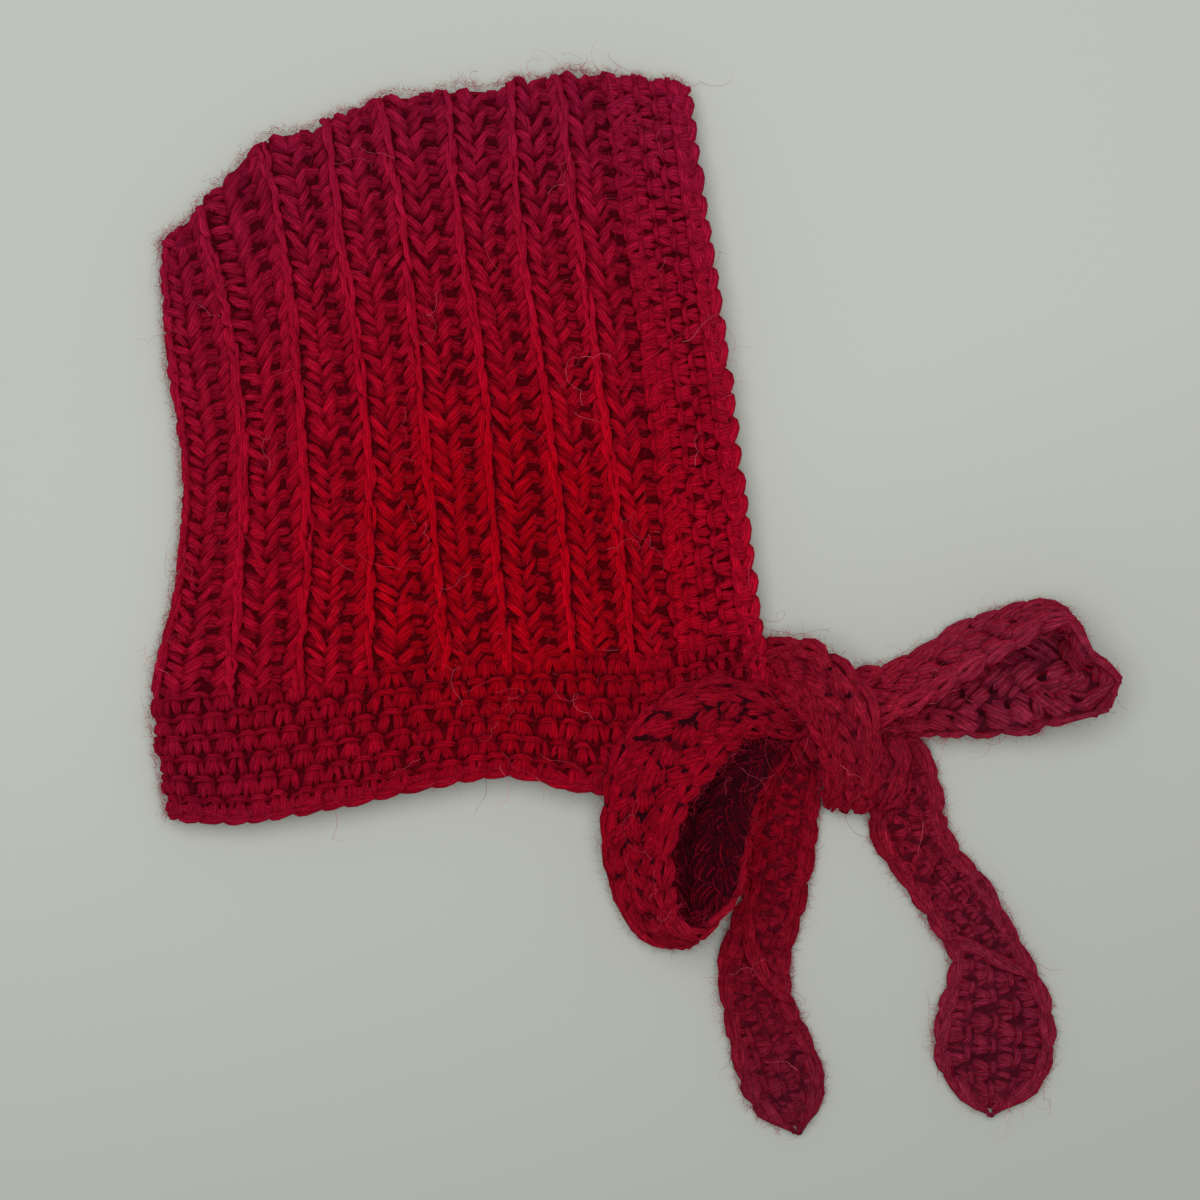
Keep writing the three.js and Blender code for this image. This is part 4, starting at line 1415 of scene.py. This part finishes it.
@dataclass
class Strap:
    """One stretch of the ties: a core painted dark as the shade between the stitches, rows of stitches on
    both faces, and a chain on each edge.

    Attributes:
        node: The solid that it stands for.
        shape: Its route and widths.
        row_count: How many rows of stitches lie across it, between the chains.
        pitch: Of its stitches.
        core_sink: How far below the strap's surface the core starts.
        chain_pitch: Of the stitches of the chains on the edges.
        chain_width: Of those chains.
        edge_room: The share of the upper face that the rows take, between the chains.
        crossing: Where a chain crosses the upper face, if one does: the shares across at its two ends,
            and the ways along in mm.
        lies_flat: True where the lower face lies on the floor and is not seen.
        inside_shade: How much darker the lower face's stitches are, the inside of a loop.
        light: How much lighter than the other straps this one is painted, painted light above 0 and painted
            shade below.
        fullness: How thick the yarn of its rows is, against the hood's.
        seed: For the unevenness.
    """

    node: str
    shape: StrapShape
    row_count: int = 3
    pitch: float = 8.2
    core_sink: float = 0.9
    chain_pitch: float = 10.8
    chain_width: float = 4.4
    edge_room: float = 0.8
    crossing: tuple[float, float, float, float] | None = None
    lies_flat: bool = False
    inside_shade: float = 0.0
    light: float = 0.0
    fullness: float = 1.25
    seed: int = 1

    # The share of the lower face that the rows take, where no chains lie beside them.
    BARE_ROOM = 0.94
    # The core's corners, stations and ends, and how light it is along the strap and near its free end: a low
    # lift, painted dark as the shade between the stitches, less so at the free end.
    CORE_SIDES, CORE_STEP, CORE_FEWEST = 16, 3.0, 6
    CORE_END, CORE_BLUNTNESS, CORE_END_SHARE, CORE_NARROWEST = 0.4, 30, 0.02, 1.0
    CORE_LIFT = 0.22
    TIP_LIFT, TIP_FROM, TIP_OVER = 0.4, 9.0, 6.0
    ROW_SINK, CHAIN_SINK, CROSSING_SINK = 1.0, 0.5, -0.9
    CHAIN_INSET = 0.6
    ROW_SEEDS, CHAIN_SEEDS, CROSSING_SEEDS = 7, 13, 17

    def core(self) -> Geometry:
        """The strap's own body, as one tube of the section |u|^4 + v^2 = 1, painted dark as the shade between
        the stitches, darkest inside a loop and a little paler at its end.
        """
        length = self.shape.length
        stations = max(int(length / self.CORE_STEP), self.CORE_FEWEST)
        along = np.linspace(self.CORE_END, length - self.CORE_END, stations)
        middle, wide, face, half = self.shape.station(along)
        angle = 2 * math.pi * np.arange(self.CORE_SIDES) / self.CORE_SIDES
        u = np.sign(np.cos(angle)) * np.sqrt(np.abs(np.cos(angle)))
        v = np.sin(angle)
        blunt = np.abs(2 * along / length - 1) ** self.CORE_BLUNTNESS
        taper = np.sqrt(np.maximum(1 - blunt, self.CORE_END_SHARE))
        wide_half = np.maximum(half - self.core_sink, self.CORE_NARROWEST) * taper
        thick_half = (self.shape.thickness / 2 - self.core_sink) * taper
        points = (
            middle[:, None]
            + u[:, None] * wide_half[:, None, None] * wide[:, None]
            + v[:, None] * thick_half[:, None, None] * face[:, None]
        )
        place = np.stack(np.broadcast_arrays(along[:, None], angle[None, :] / (2 * math.pi)), -1)
        lift = 0.0 if self.inside_shade else self.CORE_LIFT
        paler = self.TIP_LIFT * smooth((along - length + self.TIP_FROM) / self.TIP_OVER)
        return closed_tube(points, place, lift + paler, self.shape.outward < 0)

    def rows(self, side: Side) -> list[Geometry]:
        """The stitches of one face."""
        surface = StrapSide(self.shape, side)
        length = self.shape.length
        count = max(int(length / self.pitch), 2)
        pitch = length / count
        room = self.edge_room if side is Side.UPPER else self.BARE_ROOM
        width = 2 * room / self.row_count
        starts = -room + width * np.arange(self.row_count)
        if self.lies_flat:
            across, along = staggered(starts, pitch, count)
            widths = np.full(across.size, width)
        else:
            across, along, widths = mirrored(starts, width, pitch, count)
        cells = StitchField(
            surface, across, along, widths, pitch, light=self.light, fullness=self.fullness,
            sink=self.ROW_SINK, coarse=self.lies_flat and side is Side.LOWER, loose=1.3,
            shade=self.inside_shade if side is Side.LOWER else 0.0,
            seed=self.seed * self.ROW_SEEDS + side.value,
        )
        if cells.coarse:
            runs = ROW_COARSE_RUNS
        else:
            runs = ROW_RUNS if self.lies_flat else STEEP_RUNS
        return [cells.lay(run) for run in runs]

    def chain(
        self, surface: Surface, start: Array, along: Array, pitch: float, sink: float, seed: int
    ) -> list[Geometry]:
        """A chain of long stitches, from where each one starts across and lies along."""
        width = self.chain_width / self.shape.station(along)[3]
        stitches = StitchField(
            surface, start, along, width, pitch, sink=sink, loose=1.2, light=self.light, seed=seed
        )
        return [stitches.lay(run) for run in CHAIN_RUNS]

    def edges(self) -> list[Geometry]:
        """The chains on both edges."""
        surface = StrapSide(self.shape, Side.UPPER)
        length = self.shape.length
        count = max(int(length / self.chain_pitch), 2)
        pitch = length / count
        along = pitch * (0.5 + np.arange(count))
        inset = self.CHAIN_INSET * self.chain_width / self.shape.station(along)[3]
        chains = []
        for edge in (-1, 1):
            seed = self.seed * self.CHAIN_SEEDS + edge
            chains += self.chain(surface, edge * (1 - inset), along, pitch, self.CHAIN_SINK, seed)
        return chains

    def crossing_chain(self) -> list[Geometry]:
        """The chain that crosses the upper face on a slant, where the strap is twisted."""
        if self.crossing is None:
            return []
        from_edge, to_edge, first, last = self.crossing
        slanted = Slanted(StrapSide(self.shape, Side.UPPER), (to_edge - from_edge) / (last - first), first)
        count = max(round((last - first) / self.chain_pitch), 2)
        pitch = (last - first) / count
        along = first + pitch * (0.5 + np.arange(count))
        start = np.full(count, from_edge)
        return self.chain(slanted, start, along, pitch, self.CROSSING_SINK, self.seed * self.CROSSING_SEEDS)

    def dress(self) -> None:
        """Adds the core and the yarn as one piece."""
        parts = [
            self.core(), *self.rows(Side.UPPER), *self.rows(Side.LOWER), *self.edges(), *self.crossing_chain()
        ]
        add_piece(Geometry.joined(parts), f"{self.node}_yarn", TIE_YARN, Slot.TIES, (self.node,))


LOOP_WIDTH = 32.0
STRAPS = (
    Strap("knot_wrap", StrapShape((
        (47.8, -23.8, 11.5, 18, 0), (50.2, -23.5, 12.6, 19, 0), (53.6, -23.4, 17.5, 20.5, 0),
        (58.5, -25.2, 23, 23, 0), (66.5, -31.5, 27.5, 24, 0), (73.5, -42.5, 29, 23, 0),
        (76, -56, 25, 19.5, 0), (76, -67.5, 16, 18, 0), (75, -72, 6.5, 15, 0),
    )), light=-0.2, seed=2),
    Strap("knot_tuck", StrapShape((
        (88, -49, 14, 10, 0), (90.3, -55.5, 14.5, 14, 0), (89.3, -63.8, 13.5, 15, 0),
        (84.8, -70, 11, 13, 0),
    )), row_count=2, seed=3),
    Strap("bow_loop_left", StrapShape((
        (57, -43.5, 13, 12, 10), (49.5, -41, 17.2, 14, 5), (40, -38, 20, 20, 3),
        (28.5, -40.5, 23.5, 27, 3), (18, -47.5, 27, 31, 8), (7.5, -60.5, 28.5, 32, 17),
        (2.5, -80, 24, 31, 39), (3.7, -98.5, 19, 32, 51), (9, -111.8, 17, 31, 60),
        (22, -116.3, 17.8, 30, 82), (26, -104.5, 15, 32, 128), (26.3, -88, 12, 33, 147),
        (30, -71, 10.5, 30, 157), (41.5, -55.5, 11, 21, 162), (54, -47, 11, 13, 168),
    ), full_width=LOOP_WIDTH), pitch=9.2, inside_shade=0.85, light=-0.5,
        fullness=1.45, seed=4),
    Strap("bow_loop_right", StrapShape((
        (80, -34.5, 14.3, 25, 30), (89, -33, 14.8, 24, 40), (98.5, -29, 15, 26.5, 51),
        (108, -23, 16, 28, 57), (118.5, -16.5, 16.8, 30, 60), (131, -10.3, 17.8, 31, 67),
        (142.5, -5.5, 18.3, 32, 76), (151.3, -6.8, 18.3, 33, 84), (154.8, -17.5, 18.5, 33, 96),
        (158, -28, 15, 34, 132), (141, -26.8, 10.1, 39, 158), (122, -31.8, 8.6, 33, 161),
        (104, -35.8, 9, 24.5, 162), (91, -40.5, 10, 17, 165), (82, -45, 10.5, 13, 165),
    ), outward=-1, full_width=LOOP_WIDTH), pitch=9.2, light=1.7, fullness=1.45, seed=5),
    Strap("tie_end_left", StrapShape((
        (60, -54, 6, 18, 0), (54.5, -72, 4, 22, 0), (52.3, -89.5, 3.2, 22.7, 0), (50, -106, 3.5, 20.7, 0),
        (44.6, -121, 4.2, 23.5, -8), (43, -132.5, 4, 24.8, -6), (44.8, -144.5, 3.4, 23.6, 0),
        (49.7, -158, 3, 27, 0), (54, -171, 3, 27.5, 0), (56.5, -179, 3, 20, 0), (58, -185, 3, 8, 0),
    )), row_count=4, chain_width=2.8, edge_room=0.88,
        crossing=(0.8, -0.8, 60.0, 89.0), lies_flat=True, light=-1.4, fullness=1.05, seed=6),
    Strap("tie_end_right", StrapShape((
        (82, -49.5, 4.4, 16, 0), (91.8, -55, 3.9, 22, 0), (96, -68, 4, 25, 0), (97.5, -80, 3.5, 25, 0),
        (104, -92, 3.5, 22.5, 0), (114.3, -105.5, 3.5, 24, 0), (123, -119, 4.5, 23, 0),
        (126.5, -131.5, 4.2, 29.5, 0), (127.8, -143.5, 3.6, 38.5, 0), (127.7, -155, 3.4, 41.5, 0),
        (127.3, -166, 3.2, 36, 0), (126.5, -174.5, 3, 22, 0), (126.5, -179, 3, 9, 0),
    )), row_count=4, chain_width=2.8, edge_room=0.88,
        crossing=(0.75, -0.75, 80.0, 99.0), lies_flat=True, light=-0.3, fullness=1.05, seed=7),
    Strap("tie_lower", StrapShape((
        (47.6, -23.8, 2.6, 18, 0), (53, -23.3, 2.7, 19, 0), (58.5, -25, 3, 20, 0),
        (63, -28.5, 3.5, 20, 0),
    )), seed=8),
)


@dataclass
class KnotHeart:
    """The inside of the knot, which shows only between the straps, painted dark as the shade there.

    Attributes:
        surface: Its round form.
        core_sink: How far below that form the core lies.
        around: Corners in a ring of the core.
        rows: Its rings from pole to pole.
    """

    surface: BallSide = field(default_factory=BallSide)
    core_sink: float = 2.0
    around: int = 24
    rows: int = 14

    CAPS = (0.04, 0.96)
    # Painted shade: a low lift, so near the dark hollow colour.
    CORE_LIFT = 0.1
    PATTERN_WIDTH = 40
    STITCHES_AROUND, STITCH_ROWS, ROW_SHARE = 6, 6, 8
    STITCH_LENGTH = 0.13

    def core(self) -> Geometry:
        """An ellipsoid with a small cap at each pole."""
        turn, tilt = np.meshgrid(np.arange(self.around) / self.around, np.linspace(*self.CAPS, self.rows))
        points, _ = self.surface.lay(turn, tilt, np.full(turn.shape, -self.core_sink))
        place = np.stack([turn * self.PATTERN_WIDTH, tilt], -1)
        return closed_tube(points, place, np.full(self.rows, self.CORE_LIFT))

    def dress(self) -> None:
        """Adds the heart and its stitches as one piece."""
        turns = np.arange(self.STITCHES_AROUND) / self.STITCHES_AROUND
        tilts = np.arange(1, self.STITCH_ROWS + 1) / self.ROW_SHARE
        across, along = np.meshgrid(turns, tilts, indexing="ij")
        cells = StitchField(
            self.surface, across.ravel(), along.ravel(), np.full(across.size, 1 / self.STITCHES_AROUND),
            self.STITCH_LENGTH, sink=1.0, coarse=True, loose=1.5, seed=31,
        )
        parts = [self.core()] + [cells.lay(run) for run in ROW_COARSE_RUNS]
        add_piece(Geometry.joined(parts), "knot_core_yarn", TIE_YARN, Slot.TIES, ("knot_core",))


@dataclass(frozen=True)
class Bed:
    """Where loose fibres grow.

    Attributes:
        surface: What they grow on.
        across: From where to where across it.
        along: From where to where along it.
        count: How many there are.
    """

    surface: Surface
    across: Pair
    along: Pair
    count: int


@dataclass
class Halo:
    """Loose fibres that stand off the yarn.

    Attributes:
        name: Of the piece.
        slot: The name of its finish; not used.
        replaced: The nodes that it goes with.
        beds: Where they grow.
        length: Shortest and longest, in mm.
        radius: Of a fibre.
        root: Lowest and highest place of a root over the fabric, in mm.
        slant: How steeply they leave it, from 0 along it to 1 straight off.
        curl: Radius of the curl at the loose end, as a share of the length.
        turns: Fewest and most turns of the curl.
        paleness: 0 to 1, how pale most of them are.
        rings: How many rings a fibre's tube has.
        seed: For the scatter.
    """

    name: str
    slot: Slot
    replaced: tuple[str, ...]
    beds: list[Bed]
    length: Pair = (1.8, 5.5)
    radius: float = 0.06
    root: Pair = (0.2, 1.8)
    slant: Pair = (0.05, 0.6)
    curl: float = 0.14
    turns: Pair = (0.4, 1.3)
    paleness: float = 0.06
    rings: int = 4
    seed: int = 41

    SIDES = 3
    LENGTH_ODDS = (1.4, 2.2)
    CURL_VARIES = (0.4, 1.4)
    TIP_THINNER = 0.7
    LOWEST = 0.15

    def build(self) -> Geometry:
        """Each fibre leaves the yarn on a slant and curls.

        Its path is root + way s along a slanting direction, plus a curl of radius c s that turns with s.
        """
        rng = np.random.default_rng(self.seed)
        parts = []
        for bed in self.beds:
            count = bed.count
            across, along = rng.uniform(*bed.across, count), rng.uniform(*bed.along, count)
            root, outward = bed.surface.lay(across, along, rng.uniform(*self.root, count))
            aside = unit(np.cross(outward, rng.normal(size=(count, 3))))
            third = np.cross(outward, aside)
            slant = rng.uniform(*self.slant, (count, 1))
            course = unit(outward * slant + aside * (1 - slant))
            shortest, longest = self.length
            length = shortest + (longest - shortest) * rng.beta(*self.LENGTH_ODDS, (count, 1))
            s = np.linspace(0, 1, self.rings)[None, :, None]
            turns = rng.uniform(*self.turns, (count, 1, 1)) * 2 * math.pi
            phase = rng.uniform(0, 2 * math.pi, (count, 1, 1))
            curl = self.curl * length[:, :, None] * rng.uniform(*self.CURL_VARIES, (count, 1, 1)) * s
            loop = np.cos(turns * s + phase) * third[:, None] + np.sin(turns * s + phase) * aside[:, None]
            path = root[:, None] + course[:, None] * length[:, None] * s + curl * loop
            path[..., 2] = np.maximum(path[..., 2], self.LOWEST)
            radius = np.broadcast_to(self.radius * (1 - self.TIP_THINNER * s[..., 0]), (count, self.rings))
            tone = np.clip(rng.exponential(self.paleness, count), 0, 1)
            parts.append(wrap_tubes(
                path, np.broadcast_to(outward[:, None], path.shape), radius, np.ones((count, self.rings)),
                tone, self.SIDES, np.zeros(count),
            ))
        return Geometry.joined(parts)

    def dress(self) -> None:
        """Adds the fibres."""
        add_piece(self.build(), self.name, HAIR, self.slot, self.replaced)


@dataclass
class Studio:
    """The pale floor, the soft light and the camera straight above.

    Attributes:
        view_middle: Point that the camera looks down on, in mm.
        view_width: What the picture shows from side to side at focus_height, in mm.
        camera_height: Of the camera over the floor, in mm.
        focus_height: Over the floor, where view_width is measured.
        floor_size: From side to side, in metres.
        sky: Linear colour of the sky, and its strength.
        window: Linear colour of the lamp, its power in watts and its diameter in metres.
        window_place: Where it hangs, in metres.
    """

    view_middle: Pair = (-10.85, 0.0)
    view_width: float = 420.0
    focus_height: float = 9.0
    camera_height: float = 1300.0
    floor_size: float = 6.0
    sky: tuple[Colour, float] = ((0.95, 0.98, 1.0), 0.42)
    window: tuple[Colour, float, float] = ((1.0, 0.985, 0.96), 30.0, 1.4)
    window_place: tuple[float, float, float] = (-0.05, 0.15, 1.6)

    FARTHEST = 20.0

    def floor(self) -> None:
        """A plain pale floor."""
        half = self.floor_size / 2
        corners = [(-half, -half, 0), (half, -half, 0), (half, half, 0), (-half, half, 0)]
        mesh = bpy.data.meshes.new("floor")
        mesh.from_pydata(corners, [], [(0, 1, 2, 3)])
        mesh.materials.append(PALE_FLOOR.material())
        floor = bpy.data.objects.new("floor", mesh)
        bpy.context.scene.collection.objects.link(floor)

    def lights(self) -> None:
        """An even sky and one large soft light from the upper left."""
        scene = bpy.context.scene
        world = bpy.data.worlds.new("sky")
        world.use_nodes = True
        colour, strength = self.sky
        NodeSheet(world.node_tree).feed(
            world.node_tree.nodes["Background"], {"Color": colour, "Strength": strength}
        )
        scene.world = world
        lamp = bpy.data.lights.new("window", "AREA")
        lamp.shape = "DISK"
        lamp.color, lamp.energy, lamp.size = self.window
        window = bpy.data.objects.new("window", lamp)
        window.location = self.window_place
        direction = -window.location.normalized()
        window.rotation_euler = direction.to_track_quat("-Z", "Y").to_euler()
        scene.collection.objects.link(window)
        scene.view_settings.view_transform = "Standard"

    def camera(self) -> None:
        """A camera that looks straight down, with the picture's top towards the hood's top fold."""
        data = bpy.data.cameras.new("camera")
        data.sensor_fit = "HORIZONTAL"
        distance = self.camera_height - self.focus_height
        data.angle = 2 * math.atan(self.view_width / 2 / distance)
        data.clip_end = self.FARTHEST
        camera = bpy.data.objects.new("camera", data)
        camera.location = (self.view_middle[0] * MM, self.view_middle[1] * MM, self.camera_height * MM)
        bpy.context.scene.collection.objects.link(camera)
        bpy.context.scene.camera = camera

    def dress(self) -> None:
        """Sets up the floor, the light and the camera."""
        self.floor()
        self.lights()
        self.camera()


FOLD_STRIP = 5.0
EDGE_STRIP = 3.0
STRAP_EDGE_FROM = 0.97
UNDERSIDE_SHARE = 0.25


def hood_beds(shape: HoodShape, upper: int, lower: int, edges: int) -> list[Bed]:
    """Beds over both sides of the hood and along its folds, its face edge and its hem."""
    beds = []
    for side, count in ((Side.UPPER, upper), (Side.LOWER, lower)):
        surface = HoodSide(shape, side)
        right, bottom = surface.across_line(shape.face_edge_line), surface.along_row(shape.hem_row)
        whole_across, whole_along = (0.0, right), (0.0, bottom)
        beds.append(Bed(surface, whole_across, whole_along, count))
        for across, along in (
            ((0.0, FOLD_STRIP), whole_along),
            (whole_across, (0.0, FOLD_STRIP)),
            ((right - EDGE_STRIP, right), whole_along),
            (whole_across, (bottom - EDGE_STRIP, bottom)),
        ):
            beds.append(Bed(surface, across, along, edges // 8))
    return beds


def tie_beds(faces: float, edges: float) -> list[Bed]:
    """Beds over both faces of the ties and along their edges, with so many fibres for each mm of strap."""
    beds = []
    for strap in STRAPS:
        length = strap.shape.length
        for side in Side:
            share = UNDERSIDE_SHARE if strap.lies_flat and side is Side.LOWER else 1.0
            surface = StrapSide(strap.shape, side)
            beds.append(Bed(surface, (-1.0, 1.0), (0.0, length), int(length * faces * share)))
            for across in ((-1.0, -STRAP_EDGE_FROM), (STRAP_EDGE_FROM, 1.0)):
                beds.append(Bed(surface, across, (0.0, length), int(length * edges / 2)))
    return beds


def fluff(shape: HoodShape) -> list[Halo]:
    """The short fibres all over, and the few long ones that have come loose and curl."""
    tie_nodes = tuple(strap.node for strap in STRAPS)
    stray = {
        "radius": 0.075, "root": (1.0, 2.0), "slant": (0.02, 0.25), "curl": 0.2, "turns": (0.5, 2.2),
        "paleness": 0.35, "rings": 14,
    }
    hood, ties = (Slot.HOOD, HOOD_NODES), (Slot.TIES, tie_nodes)
    return [
        Halo("hood_halo", *hood, hood_beds(shape, 3900, 200, 4300), seed=41),
        Halo("tie_halo", *ties, tie_beds(2.9, 2.6), seed=43),
        Halo("hood_strays", *hood, hood_beds(shape, 90, 4, 48), length=(8.0, 24.0), seed=47, **stray),
        Halo("tie_strays", *ties, tie_beds(0.06, 0.06), length=(7.0, 20.0), seed=53, **stray),
    ]


def main() -> None:
    """Builds the whole object in order and notes each piece."""
    logging.basicConfig(level=logging.INFO, format="%(message)s")
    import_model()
    shape = HoodShape()
    Studio().dress()
    HoodWall(shape).dress()
    RibbedPanel(shape).dress()
    FaceBand(shape).dress()
    NeckBand(shape).dress()
    for strap in STRAPS:
        strap.dress()
    KnotHeart().dress()
    for halo in fluff(shape):
        halo.dress()


if __name__ == "__main__":
    main()
